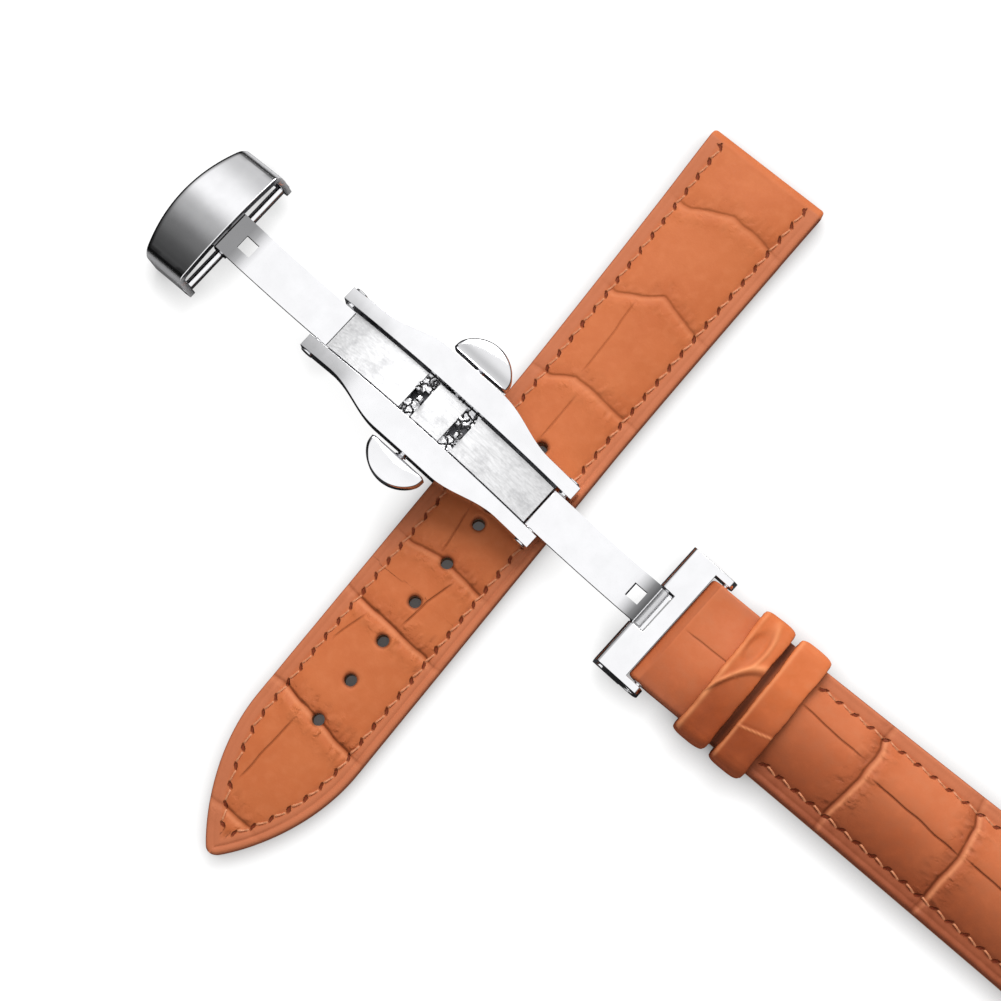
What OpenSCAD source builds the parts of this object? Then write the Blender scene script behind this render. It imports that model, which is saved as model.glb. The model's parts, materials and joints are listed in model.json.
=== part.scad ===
// Two-piece leather watch strap with a double push-button butterfly clasp, lying open.
// Millimetres, +Z up. The long strap lies flat on z = 0 and the open clasp lies across it.
// The origin is on the long strap's underside, straight under the clasp's right hinge pin.
// +X runs along the open clasp towards the short strap, +Y across the clasp.

/* [Both straps] */
// Width at the watch end
lug_w = 18; // [17:0.5:19]
// Width at the clasp
strap_w = 16; // [15:0.1:16.2]
// Thickness of the top leather over the padding
leather_t = 0.9; // [0.7:0.1:1]
// Thickness of the lining leather
lining_t = 0.7; // [0.5:0.1:0.8]
// Flat margin beside the padding
margin_w = 2.5; // [2.4:0.1:3]
// Distance from the edge to the seam
seam_in = 2.1; // [1.8:0.1:2.15]
// Stitch length with its gap
stitch_pitch = 2.45; // [2:0.05:3]
// Width of the thread
thread_w = 0.45; // [0.3:0.05:0.5]
// Radius of the tunnel for a spring bar
tunnel_r = 0.8; // [0.78:0.01:0.9]

/* [Long strap] */
// Length from the watch end to the tip
long_len = 112; // [106:1:125]
// Thickness at the margin
long_margin_t = 2.4; // [2.2:0.1:2.7]
// Height of the padded crown over the margin
long_crown_h = 0.8; // [0.6:0.1:1]
// Radius of the folded watch end
long_nose_r = 1.5; // [1.4:0.05:1.6]
// Length over which the width flares to the watch end
long_flare = 42; // [30:1:45]
// Length of the pointed tip
tip_len = 18.5; // [14:0.5:19]
// Diameter of an adjustment hole
hole_d = 1.6; // [1.4:0.1:1.8]
// Distance between adjustment holes
hole_pitch = 6.3; // [6:0.05:6.4]
// Number of adjustment holes
hole_n = 8; // [5:1:9]
// Distance from the tip to the first hole
hole_tip = 20.7; // [20:0.1:24]
// Distance from the right hinge pin to the long strap's middle
cross_x = 5.9; // [5:0.1:7]
// Distance from the clasp's centre line to the watch end
lug_reach = 53.3; // [50:0.1:58]
// Angle between the clasp and the long strap
strap_angle = 93.15; // [90:0.05:96]

/* [Short strap] */
// Length from end to end
short_len = 75; // [68:1:85]
// Thickness at the margin
short_margin_t = 2.7; // [2.5:0.1:2.9]
// Height of the padded crown over the margin
short_crown_h = 1.3; // [1:0.1:1.5]
// Radius of both folded ends
short_nose_r = 1.7; // [1.65:0.05:1.75]
// Length over which the width flares to the watch end
short_flare = 60; // [40:1:64]
// Angle by which the strap bends sideways behind its spring bar
short_bend = 2.7; // [0:0.1:3]

/* [Keepers] */
// Width of a keeper along the strap
keeper_len = 4.7; // [4:0.1:5]
// Wall of a keeper
keeper_t = 1.1; // [0.9:0.05:1.15]
// Gap between a keeper and the strap
keeper_gap = 0.2; // [0.15:0.05:0.25]
// Distance from the spring bar to the fixed keeper
keeper_x = 6.2; // [5:0.1:6.5]
// Gap between the two keepers
keeper_space = 1; // [0.8:0.1:2]

/* [Clasp frame] */
// Length of the frame over its rail ends
frame_len = 38.4; // [38:0.1:40]
// Radius of the underside of the frame
curve_r = 50; // [46:1:56]
// Thickness of the frame
frame_t = 3.5; // [3.5:0.05:3.6]
// Gap between the two rails
rail_gap = 6.3; // [6.2:0.05:6.6]
// Width of a rail at its ends
rail_end_w = 1.85; // [1.6:0.05:2.2]
// Width of a rail beside its button
rail_mid_w = 3.7; // [3.5:0.1:4.2]
// Length of the wide middle of a rail
rail_mid_len = 9.2; // [9:0.1:11]
// Length of the taper on each side of the middle
rail_taper = 9.4; // [7:0.1:9.6]
// Distance from a rail's end to its hinge pin
pin_inset = 1.2; // [1.15:0.05:1.3]
// Radius of the hinge pins
pin_r = 0.6; // [0.5:0.05:0.6]
// Thickness of the base plate
base_t = 0.5; // [0.4:0.05:0.5]
// Thickness of the three top plates
plate_t = 0.5; // [0.4:0.05:0.5]
// Distance from the centre to each catch slot
slot_x = 3.3; // [3.2:0.05:3.4]
// Width of a catch slot
slot_w = 2; // [2:0.05:2.1]

/* [Arms] */
// Width of an arm
arm_w = 5.65; // [5.5:0.05:5.7]
// Thickness of an arm
arm_t = 0.9; // [0.8:0.05:0.9]
// Side of the square catch hole
catch_hole = 2; // [2:0.05:2.1]
// Distance from the centre to the end pins when the clasp is shut
end_x = 1.1; // [1.1:0.05:1.15]
// Height of an end pin over the middle of the blade
end_rise = 1.9; // [1.85:0.05:2]

/* [Buttons] */
// Length of a button along the clasp
button_len = 8.5; // [8:0.1:9]
// Depth of a button from its flat side
button_d = 3.5; // [3.2:0.1:4]
// Straight stretch at each side of a button
button_side = 0.8; // [0.6:0.1:1]
// Thickness of a button
button_t = 2.4; // [2:0.1:2.6]
// Gap between a button and its rail
button_gap = 0.6; // [0.55:0.05:0.8]
// Travel of a button
button_travel = 0.5; // [0.4:0.05:0.5]
// Radius of the button shank
shank_r = 0.5; // [0.4:0.05:0.5]

/* [Cover head] */
// Width across the head
head_w = 19; // [18.8:0.1:19.4]
// Thickness of the side walls
head_wall = 0.9; // [0.7:0.05:1]
// Thickness of the cover plate
head_plate = 0.9; // [0.7:0.05:0.9]
// Height of the strap passage under the plate over the rod's centre
head_clear = 2.7; // [2.6:0.05:2.8]
// Depth of the side walls under the rod's centre
head_drop = 1.1; // [1:0.05:1.1]
// Length of the plate in front of the rod
head_front = 0.4; // [0.2:0.05:0.4]
// Length of the plate behind the rod at its sides
head_side = 6.2; // [5.4:0.1:6.4]
// Length of the plate behind the rod at its middle
head_rear = 8.4; // [8:0.1:8.8]
// Drop of the plate's crown at its sides
head_crown = 0.6; // [0.4:0.05:0.7]
// Radius of the rod
rod_r = 0.65; // [0.6:0.05:0.7]
// Tilt of the open head
head_tilt = 18; // [12:1:18]
// Diameter of the strap peg
peg_d = 1.4; // [1.2:0.1:1.4]

/* [T-bar] */
// Width across the body
tbar_w = 19.4; // [19.2:0.1:19.6]
// Length of the body behind the pin
tbar_back = 3.2; // [3.1:0.05:3.2]
// Length of the body in front of the pin
tbar_front = 1.1; // [1.05:0.05:1.1]
// Height of the body over the pin
tbar_up = 1.8; // [1.5:0.05:1.8]
// Depth of the body under the pin
tbar_down = 0.9; // [0.85:0.05:0.9]
// Thickness of an ear
ear_t = 1.1; // [1:0.05:1.1]
// Radius of an ear
ear_r = 1; // [0.9:0.05:1.1]
// Distance from the pin to the spring bar
bar_x = 5; // [5:0.05:5.2]
// Height of the spring bar over the pin
bar_up = 0.4; // [0.3:0.05:0.5]

/* [Spring bar] */
// Radius of the sleeve
sleeve_r = 0.75; // [0.7:0.01:0.75]
// Radius of the tips
tip_r = 0.4; // [0.35:0.01:0.4]
// Length of a tip outside the sleeve
tip_out = 1.2; // [1.1:0.05:1.2]

/* [Hidden] */
$fn = 48;

// Facets of the large curved plates, whose circles stay true in the model
arc_fn = 180;
// Running clearance round a pin and glue gap between layers
run_gap = 0.03;
glue_gap = 0.02;
// Gap between the clasp and the strap that it lies on, and between moving plates
rest_gap = 0.25;
slide_gap = 0.1;
over = 1;

// Radii of the curved clasp layers about the centre of the arch
rail_top_r = curve_r + frame_t;
blade_top_r = rail_top_r - 0.05;
blade_low_r = blade_top_r - arm_t;
blade_mid_r = blade_top_r - arm_t / 2;
plate_top_r = blade_low_r - 0.15;
plate_low_r = plate_top_r - plate_t;
base_top_r = curve_r + base_t;
pin_x = frame_len / 2 - pin_inset;
knuckle_r = 1.05;
end_knuckle_r = 1;
pin_ring_r = blade_top_r - knuckle_r;
end_ring_r = blade_mid_r + end_rise;

function on_ring(r, x) = sqrt(r * r - x * x);

pin_z = on_ring(pin_ring_r, pin_x);
end_z = on_ring(end_ring_r, end_x);
blade_slope = atan2(on_ring(blade_mid_r, end_x) - on_ring(blade_mid_r, pin_x), pin_x - end_x);
fold = 180 - blade_slope;

// Place of the arch's centre, so that the rail ends lie just over the strap's margin
frame_x = -pin_x;
frame_z = long_margin_t + rest_gap - on_ring(curve_r, frame_len / 2);

// Open places of the two end pins, from the frame's centre
end_dx = pin_x - end_x;
end_dz = end_z - pin_z;
reach = norm([end_dx, end_dz]);
open_dir = 180 - atan2(end_dz, end_dx) - fold;
open_x = pin_x + reach * cos(open_dir);
open_z = pin_z + reach * sin(open_dir);

rail_half = rail_gap / 2;
rail_mid_out = rail_half + rail_mid_w;
rail_end_out = rail_half + rail_end_w;
plate_end = pin_x - knuckle_r - rest_gap;
catch_low = base_top_r + slide_gap;
catch_t = 1;
shank_z = catch_low + catch_t / 2;
pocket_r = shank_r + 0.35;
pocket_in = rail_half + 1.6;
button_in = rail_mid_out + button_gap;
button_low = shank_z - button_t / 2 + 0.2;

ear_in = strap_w / 2 + 0.4;
ear_out = ear_in + ear_t;
tbar_notch = arm_w / 2 + 0.175;
sleeve_half = strap_w / 2 + 0.1;

short_bar_x = frame_x + open_x + bar_x;
short_bar_z = frame_z + open_z + bar_up;
short_run = short_len - 2 * short_nose_r;
short_bend_x = 1.2;
short_reach = short_bend_x + (short_run - short_bend_x) * cos(short_bend);
short_tilt = asin((short_bar_z - short_nose_r) / short_reach);

// Fields of the springs: coil rings per turn and sides of the wire
coil_rings = 8;
coil_sides = 6;

// Height in mm to which a cutting or bounding block reaches
tall = 20;

module rod_y(r, w, n = $fn) {
    rotate([90, 0, 0]) cylinder(r = r, h = w, center = true, $fn = n);
}

module rod_between(r, y0, y1) {
    translate([0, y1, 0]) rotate([90, 0, 0]) cylinder(r = r, h = y1 - y0);
}

module along_y(w) {
    rotate([90, 0, 0]) linear_extrude(height = w, center = true) children();
}

// Curved plate between two radii about the arch's centre, from x0 to x1
module band(r0, r1, w, x0, x1) {
    intersection() {
        difference() {
            rod_y(r1, w, arc_fn);
            rod_y(r0, w + over, arc_fn);
        }
        translate([x0, -w / 2 - over, 0]) cube([x1 - x0, w + 2 * over, r1 + over]);
    }
}

module in_frame() {
    translate([frame_x, 0, frame_z]) children();
}

// One unbroken coil of wire along +Z, from z = 0 to z = len
module coil(mid_r, wire_r, len, turns) {
    n = turns * coil_rings;
    pts = [
        for (i = [0:n], j = [0:coil_sides - 1])
            let (a = 360 * i / coil_rings, b = 360 * j / coil_sides, r = mid_r + wire_r * cos(b))
                [r * cos(a), r * sin(a), wire_r + (len - 2 * wire_r) * i / n + wire_r * sin(b)]
    ];
    k = coil_sides;
    sides = [
        for (i = [0:n - 1], j = [0:k - 1])
            let (a = i * k + j, b = i * k + (j + 1) % k)
                each [[a, b, b + k], [a, b + k, a + k]]
    ];
    start = [for (j = [1:k - 2]) [0, j + 1, j]];
    stop = [for (j = [1:k - 2]) [n * k, n * k + j, n * k + j + 1]];
    polyhedron(points = pts, faces = concat(sides, start, stop));
}

// Shape of the pointed tip and of the flare to the watch end
tip_power = 0.87;
flare_power = 1.3;

// Half width of the long strap at x from its watch end
function long_half(x) =
    let (d = long_len - x, t = 1 - d / tip_len)
    d < tip_len ? strap_w / 2 * pow(max(0, 1 - t * t), tip_power)
    : x < long_flare ? strap_w / 2 + (lug_w - strap_w) / 2 * pow(1 - x / long_flare, flare_power)
    : strap_w / 2;

// Half width of the short strap at x from its spring bar
function short_half(x) =
    let (t = (x - (short_run + short_nose_r - short_flare)) / short_flare)
    strap_w / 2 + (t > 0 ? (lug_w - strap_w) / 2 * pow(t, flare_power) : 0);

// Points on the long strap's edge where its outline bends
long_stations = concat(
    [for (i = [0:6]) long_flare * i / 6],
    [for (i = [0:9]) long_len - tip_len * pow(1 - i / 9, 2)]
);
short_stations = concat(
    [-short_nose_r],
    [for (i = [0:6]) short_run + short_nose_r - short_flare * (1 - i / 6)]
);

module both_edges(stations, half) {
    n = len(stations);
    polygon(concat(
        [for (i = [0:n - 1]) [stations[i], half(stations[i])]],
        [for (i = [n - 1:-1:0]) if (half(stations[i]) > 0) [stations[i], -half(stations[i])]]
    ));
}

module long_plan() {
    both_edges(long_stations, function (x) long_half(x));
}

module short_plan() {
    both_edges(short_stations, function (x) short_half(x));
}

// Radius of a crown of height h over the padded width
function crown_radius(h) = (pow(strap_w / 2 - margin_w, 2) + h * h) / (2 * h);

// Long strap in its own frame: x from the watch end to the tip, underside on z = 0
nose_slope = 20 / 3 * long_nose_r;
long_fold = 6 * long_nose_r;
long_top_z = long_margin_t + long_crown_h;
long_crown_r = crown_radius(long_crown_h);
pad_half = strap_w / 2 - margin_w - 0.3;
pad_start = lug_w * 2 / 9;
crown_ramp = strap_w / 2;
long_crown_end = long_len - 0.8 * tip_len;

function long_margin_z(x) =
    let (t = (x - 2 * long_nose_r) / nose_slope)
    long_margin_t + (2 * long_nose_r - long_margin_t) * (1 - min(1, max(0, t)));

module long_side() {
    translate([long_nose_r, long_nose_r]) circle(long_nose_r);
    polygon([
        [long_nose_r, 0], [long_nose_r, 2 * long_nose_r], [2 * long_nose_r, 2 * long_nose_r],
        [2 * long_nose_r + nose_slope, long_margin_t], [long_len + over, long_margin_t],
        [long_len + over, 0]
    ]);
}

module long_crown(inset) {
    intersection() {
        translate([0, 0, long_top_z - long_crown_r]) rotate([0, 90, 0])
            cylinder(r = long_crown_r - inset, h = long_len, $fn = arc_fn);
        along_y(strap_w) polygon([
            [2 * long_nose_r + inset, lining_t], [2 * long_nose_r + inset, long_margin_t - inset],
            [long_fold, long_top_z - inset], [long_crown_end - crown_ramp, long_top_z - inset],
            [long_crown_end, long_margin_t - inset],
            [long_crown_end, lining_t]
        ]);
    }
}

module long_pad(gap) {
    intersection() {
        long_crown(leather_t - gap);
        translate([pad_start - gap, -pad_half - gap, lining_t])
            cube([long_crown_end - pad_start - 1 + 2 * gap, 2 * pad_half + 2 * gap, tall]);
    }
}

module long_holes() {
    for (i = [0:hole_n - 1])
        translate([long_len - hole_tip - i * hole_pitch, 0, -over]) cylinder(d = hole_d, h = tall);
}

module long_place() {
    translate([-cross_x, 0, 0]) rotate([0, 0, strap_angle]) translate([lug_reach, 0, 0])
        rotate([0, 0, 180]) children();
}

module long_top_leather() {
    color("#d07a50") long_place() difference() {
        intersection() {
            linear_extrude(height = tall) long_plan();
            union() {
                along_y(2 * lug_w) long_side();
                long_crown(0);
            }
        }
        translate([long_fold, -lug_w, -over]) cube([long_len, 2 * lug_w, over + lining_t]);
        long_pad(glue_gap);
        long_holes();
        translate([long_nose_r, 0, long_nose_r]) rod_y(tunnel_r, 2 * lug_w);
    }
}

module long_filler() {
    color("#b9a58c") long_place() difference() {
        long_pad(0);
        long_holes();
    }
}

module long_lining() {
    color("#c98a5c") long_place() difference() {
        intersection() {
            linear_extrude(height = lining_t) long_plan();
            translate([long_fold + glue_gap, -lug_w, 0]) cube([long_len, 2 * lug_w, lining_t]);
        }
        long_holes();
    }
}

// Stitches lie on the margin along a curve that keeps seam_in from the edge
thread_t = 0.12;
thread_len = 0.7;
seam_steps = 120;
seam_start = 2.3;
seam_stop = 3;

function seam_point(half, x) =
    let (slope = (half(x + 0.05) - half(x - 0.05)) / 0.1, n = norm([slope, 1]))
    [x + slope * seam_in / n, half(x) - seam_in / n];

module seam(half, top, x0, x1) {
    xs = [for (i = [0:seam_steps]) x0 + (x1 - x0) * i / seam_steps];
    pts = [for (x = xs) seam_point(half, x)];
    run = [
        for (i = 0, s = 0; i <= seam_steps; i = i + 1, s = s + norm(pts[min(i, seam_steps)] - pts[i - 1]))
            [s, xs[i]]
    ];
    whole = run[seam_steps][0];
    for (side = [-1, 1], k = [0:floor(whole / stitch_pitch)]) {
        x = lookup((k + 0.3) * stitch_pitch, run);
        p = seam_point(half, x);
        q = seam_point(half, x + 0.1);
        lean = atan2(q[1] - p[1], q[0] - p[0]);
        rise = atan2(top(p[0] + 0.5) - top(p[0] - 0.5), 1);
        if (p[1] > thread_w)
            translate([p[0], side * p[1], top(p[0]) + glue_gap])
                rotate([0, -rise, side * lean])
                    translate([-stitch_pitch * thread_len / 2, -thread_w / 2, 0])
                        cube([stitch_pitch * thread_len, thread_w, thread_t]);
    }
}

module long_stitching() {
    color("#e0a070") long_place()
        seam(function (x) long_half(x), function (x) long_margin_z(x), seam_start, long_len - seam_stop);
}

// Short strap in its own frame: x from its spring bar, underside on z = -short_nose_r
short_low = -short_nose_r;
short_margin_z = short_low + short_margin_t;
short_top_z = short_margin_z + short_crown_h;
short_crown_r = crown_radius(short_crown_h);
short_fold = 7;
short_slope = 2.5;
short_slope_end = 16;
crown_start = 2;
crown_full = 6;
crown_stop = 3;

function short_top(x) =
    let (
        t = (x - short_slope) / (short_slope_end - short_slope),
        u = (short_run - 2 * short_slope - x) / (short_slope_end - 2 * short_slope)
    )
    short_margin_z + (short_nose_r - short_margin_z) * (1 - min(1, max(0, min(t, u))));

module short_side() {
    for (x = [0, short_run]) translate([x, 0]) circle(short_nose_r);
    polygon([
        [0, short_low], [0, short_nose_r], [short_slope, short_nose_r],
        [short_slope_end, short_margin_z], [short_run - short_slope_end, short_margin_z],
        [short_run - 2 * short_slope, short_nose_r], [short_run, short_nose_r],
        [short_run, short_low]
    ]);
}

module short_crown(inset) {
    intersection() {
        translate([0, 0, short_top_z - short_crown_r]) rotate([0, 90, 0])
            cylinder(r = short_crown_r - inset, h = short_run, $fn = arc_fn);
        along_y(strap_w) polygon([
            [crown_start + inset, short_low], [crown_start + inset, short_nose_r - inset],
            [crown_full, short_top_z - inset], [short_run - crown_ramp, short_top_z - inset],
            [short_run - crown_stop - inset, short_nose_r - inset],
            [short_run - crown_stop - inset, short_low]
        ]);
    }
}

module short_pad(gap) {
    intersection() {
        short_crown(leather_t - gap);
        translate([pad_start - gap, -pad_half - gap, short_low + lining_t])
            cube([short_run - 2 * pad_start + 2 * gap, 2 * pad_half + 2 * gap, tall]);
    }
}

module bar_place() {
    translate([short_bar_x, 0, short_bar_z]) rotate([0, short_tilt, 0]) children();
}

module short_bent() {
    translate([short_bend_x, 0, 0]) rotate([0, 0, short_bend]) translate([-short_bend_x, 0, 0])
        children();
}

module short_place() {
    bar_place() short_bent() children();
}

// The folded end round the spring bar stays square to it, and the strap bends behind it
module short_nose() {
    intersection() {
        along_y(strap_w) short_side();
        translate([-short_nose_r, -lug_w, -tall / 2])
            cube([short_nose_r + 2 * short_bend_x, 2 * lug_w, tall]);
    }
}

module short_body() {
    intersection() {
        translate([0, 0, -tall / 2]) linear_extrude(height = tall) short_plan();
        translate([short_bend_x, -lug_w, -tall / 2]) cube([short_len, 2 * lug_w, tall]);
        union() {
            along_y(2 * lug_w) short_side();
            short_crown(0);
        }
    }
}

module short_top_leather() {
    color("#b86a38") bar_place() difference() {
        union() {
            short_nose();
            short_bent() short_body();
        }
        short_bent() {
            translate([short_fold, -lug_w, short_low - over])
                cube([short_run - short_fold - long_fold, 2 * lug_w, over + lining_t]);
            short_pad(glue_gap);
            translate([short_run, 0, 0]) rod_y(tunnel_r, 2 * lug_w);
        }
        rod_y(tunnel_r, 2 * lug_w);
    }
}

module short_filler() {
    color("#b9a58c") short_place() short_pad(0);
}

module short_lining() {
    color("#c98a5c") short_place() intersection() {
        translate([0, 0, short_low]) linear_extrude(height = lining_t) short_plan();
        translate([short_fold + glue_gap, -lug_w, short_low])
            cube([short_run - short_fold - long_fold - 2 * glue_gap, 2 * lug_w, lining_t]);
    }
}

module short_stitching() {
    color("#e0a070") short_place()
        seam(function (x) short_half(x), function (x) short_top(x),
             keeper_x + 2 * keeper_len + keeper_space + 1.5, short_run - 0.8);
}

// Keeper loops round the short strap, arched over its crown
keeper_arch_r = 40;
keeper_round = 1.4;
keeper_shoulder = 0.8;

module keeper_plan(inset) {
    w = strap_w / 2 + keeper_gap + keeper_t - inset;
    low = short_low - keeper_gap / 2 - keeper_t + inset;
    high = short_top_z + keeper_gap + keeper_t - inset;
    round_r = keeper_round - inset;
    intersection() {
        translate([0, high - keeper_arch_r + inset]) circle(keeper_arch_r - inset, $fn = arc_fn);
        union() {
            translate([-w + round_r, low]) square([2 * w - 2 * round_r, high - low]);
            translate([-w, low + round_r])
                square([2 * w, high - low - 2 * round_r - keeper_shoulder]);
            for (s = [-1, 1]) {
                translate([s * (w - round_r), low + round_r]) circle(round_r);
                translate([s * (w - round_r), high - keeper_shoulder - round_r]) circle(round_r);
            }
        }
    }
}

module keeper() {
    rotate([90, 0, 90]) linear_extrude(height = keeper_len) difference() {
        keeper_plan(0);
        keeper_plan(keeper_t);
    }
}

module fixed_keeper() {
    color("#a4561f") short_place() translate([keeper_x, 0, 0]) keeper();
}

module loose_keeper() {
    color("#a4561f") short_place()
        translate([keeper_x + keeper_len + keeper_space, 0, 0]) keeper();
}

// Spring bar at the clasp end of the short strap
bore_r = 0.5;
crimp_len = 0.4;
collar_r = 0.47;
collar_len = 0.8;
collar_gap = 0.03;
bar_coil_r = 0.36;
bar_wire_r = 0.08;

module clasp_bar_tube() {
    color("#b8b8bc") bar_place() difference() {
        rod_y(sleeve_r, 2 * sleeve_half);
        rod_y(bore_r, 2 * (sleeve_half - crimp_len));
        rod_y(tip_r + run_gap, 2 * sleeve_half + over);
    }
}

collar_out = sleeve_half - crimp_len - collar_gap;
coil_half = collar_out - collar_len - collar_gap;

module clasp_bar_spring() {
    color("#909094") bar_place() translate([0, coil_half, 0]) rotate([90, 0, 0])
        coil(bar_coil_r, bar_wire_r, 2 * coil_half, 10);
}

module bar_tip() {
    rod_between(tip_r, collar_out - collar_len, sleeve_half + tip_out);
    rod_between(collar_r, collar_out - collar_len, collar_out);
}

module clasp_bar_tip_a() {
    color("#c8c8cc") bar_place() bar_tip();
}

module clasp_bar_tip_b() {
    color("#c8c8cc") bar_place() mirror([0, 1, 0]) bar_tip();
}

// Clasp frame, about the centre of its arch
module base_plate() {
    color("#c4c4c8") in_frame() band(curve_r, base_top_r, rail_gap, -plate_end, plate_end);
}

function rail_out(x) =
    let (t = (abs(x) - rail_mid_len / 2) / rail_taper)
    rail_end_out + (rail_mid_out - rail_end_out) * (t < 0 ? 1 : t > 1 ? 0 : 0.5 + 0.5 * cos(180 * t));

module rail_outline() {
    steps = 8;
    bend = concat([frame_len / 2], [for (i = [steps:-1:0]) rail_mid_len / 2 + rail_taper * i / steps]);
    right = [for (x = bend) [x, rail_out(x)]];
    left = [for (i = [len(right) - 1:-1:0]) [-right[i][0], right[i][1]]];
    polygon(concat(right, left, [[-frame_len / 2, rail_half], [frame_len / 2, rail_half]]));
}

module rail() {
    difference() {
        intersection() {
            band(curve_r, rail_top_r, 4 * rail_mid_out, -frame_len / 2, frame_len / 2);
            linear_extrude(height = rail_top_r + over) rail_outline();
        }
        for (s = [-1, 1])
            translate([s * pin_x, 0, pin_z]) rod_between(pin_r + glue_gap, 0, rail_mid_out + over);
        translate([0, 0, shank_z]) {
            rod_between(shank_r + run_gap, 0, rail_mid_out + over);
            rod_between(pocket_r, pocket_in, rail_mid_out + over);
        }
    }
}

module rail_a() {
    color("#d4d4d8") in_frame() rail();
}

module rail_b() {
    color("#d4d4d8") in_frame() rotate([0, 0, 180]) rail();
}

// Top plates stand on blocks that reach down to the base plate
block_end = slot_x + slot_w / 2 + 0.7;
block_w = arm_w - 0.45;

module side_plate() {
    band(plate_low_r, plate_top_r, arm_w, slot_x + slot_w / 2, plate_end);
    band(base_top_r + glue_gap, plate_low_r + glue_gap, block_w, block_end, plate_end - 0.6);
}

module left_plate() {
    color("#b0b0b4") in_frame() mirror([1, 0, 0]) side_plate();
}

module right_plate() {
    color("#b0b0b4") in_frame() side_plate();
}

post_x = 0.5;
post_y = 0.55;

module middle_pad() {
    pad_end = slot_x - slot_w / 2;
    color("#b0b0b4") in_frame() {
        band(plate_low_r, plate_top_r, arm_w, -pad_end, pad_end);
        translate([-post_x, -post_y, base_top_r + glue_gap])
            cube([2 * post_x, 2 * post_y, plate_top_r - plate_t / 2 - base_top_r - glue_gap]);
    }
}

module hinge_pin() {
    head_t = 0.25;
    head_r = pin_r + 0.3;
    rod_y(pin_r, 2 * rail_end_out + 2 * head_t);
    for (s = [-1, 1]) translate([0, s * (rail_end_out + glue_gap + head_t / 2), 0])
        rod_y(head_r, head_t);
}

module left_pin() {
    color("#e0e0e4") in_frame() translate([-pin_x, 0, pin_z]) hinge_pin();
}

module right_pin() {
    color("#e0e0e4") in_frame() translate([pin_x, 0, pin_z]) hinge_pin();
}

// Each catch has two hooks that stand side by side with the other catch's in the slots
hook_w = 0.7;
hook_off = 0.5;
hook_in = 0.15;
hook_out = 0.9;
nose_out = catch_hole / 2 + 0.2;
nose_low = blade_top_r + slide_gap / 5;
nose_t = 0.38;
catch_in = 0.6;
catch_half = slot_x + slot_w / 2 + slide_gap;

module catch() {
    difference() {
        translate([-catch_half, catch_in, catch_low])
            cube([2 * catch_half, rail_half - slide_gap - catch_in, catch_t]);
        translate([-post_x - rest_gap, catch_in - over, catch_low - over])
            cube([2 * post_x + 2 * rest_gap, over + button_travel + 0.25, catch_t + 2 * over]);
        for (s = [-1, 1])
            translate([s * slot_x + hook_off - hook_w / 2 - slide_gap, catch_in - over, catch_low - over])
                cube([hook_w + 2 * slide_gap, over + 0.4, catch_t + 2 * over]);
    }
    for (s = [-1, 1]) {
        translate([s * slot_x - hook_off - hook_w / 2, hook_in, catch_low])
            cube([hook_w, hook_out - hook_in, nose_low + nose_t - catch_low]);
        translate([s * slot_x - hook_off - hook_w / 2, hook_in, nose_low])
            cube([hook_w, nose_out - hook_in, nose_t]);
    }
}

module catch_a() {
    color("#a8a8ac") in_frame() catch();
}

module catch_b() {
    color("#a8a8ac") in_frame() rotate([0, 0, 180]) catch();
}

module button_cap() {
    bulge = button_d - button_side;
    cap_r = (pow(button_len / 2, 2) + bulge * bulge) / (2 * bulge);
    translate([0, 0, button_low]) linear_extrude(height = button_t) intersection() {
        translate([0, button_in + button_d - cap_r]) circle(cap_r, $fn = arc_fn);
        translate([-button_len / 2, button_in]) square([button_len, button_d]);
    }
}

module button() {
    button_cap();
    translate([0, 0, shank_z]) rod_between(shank_r, rail_half - slide_gap, button_in + over / 2);
}

module button_a() {
    color("#dcdce0") in_frame() button();
}

module button_b() {
    color("#dcdce0") in_frame() rotate([0, 0, 180]) button();
}

spring_wire_r = 0.11;

module button_spring() {
    translate([0, button_in - glue_gap, shank_z]) rotate([90, 0, 0])
        coil(shank_r + 0.18, spring_wire_r, button_in - pocket_in - 2 * glue_gap, 5);
}

module button_spring_a() {
    color("#909094") in_frame() button_spring();
}

module button_spring_b() {
    color("#909094") in_frame() rotate([0, 0, 180]) button_spring();
}

// Arm drawn folded flat on the frame, then swung open about its hinge pin; its far end turns on
// a rod of radius end_r
module arm_shut(end_r) {
    difference() {
        union() {
            band(blade_low_r, blade_top_r, arm_w, end_x - end_knuckle_r, pin_x);
            translate([pin_x, 0, pin_z]) rod_y(knuckle_r, arm_w);
            translate([end_x, 0, end_z]) rod_y(end_knuckle_r, arm_w);
            translate([end_x - end_knuckle_r, -arm_w / 2, blade_mid_r - glue_gap])
                cube([2 * end_knuckle_r, arm_w, end_z - blade_mid_r + glue_gap]);
        }
        translate([pin_x, 0, pin_z]) rod_y(pin_r + run_gap, arm_w + over);
        translate([end_x, 0, end_z]) rod_y(end_r + run_gap, arm_w + over);
        translate([slot_x - catch_hole / 2, -catch_hole / 2, blade_low_r - over])
            cube([catch_hole, catch_hole, 3 * over]);
    }
}

module arm_open(end_r) {
    translate([pin_x, 0, pin_z]) rotate([0, fold, 0]) translate([-pin_x, 0, -pin_z])
        arm_shut(end_r);
}

module arm_1() {
    color("#e8e8ec") in_frame() mirror([1, 0, 0]) arm_open(rod_r);
}

module arm_2() {
    color("#e8e8ec") in_frame() arm_open(pin_r);
}

// Cover head about its rod, level, front towards +X; the open head is tilted up at its front
module head_place() {
    in_frame() translate([-open_x, 0, open_z]) rotate([0, -head_tilt, 0]) children();
}

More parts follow.
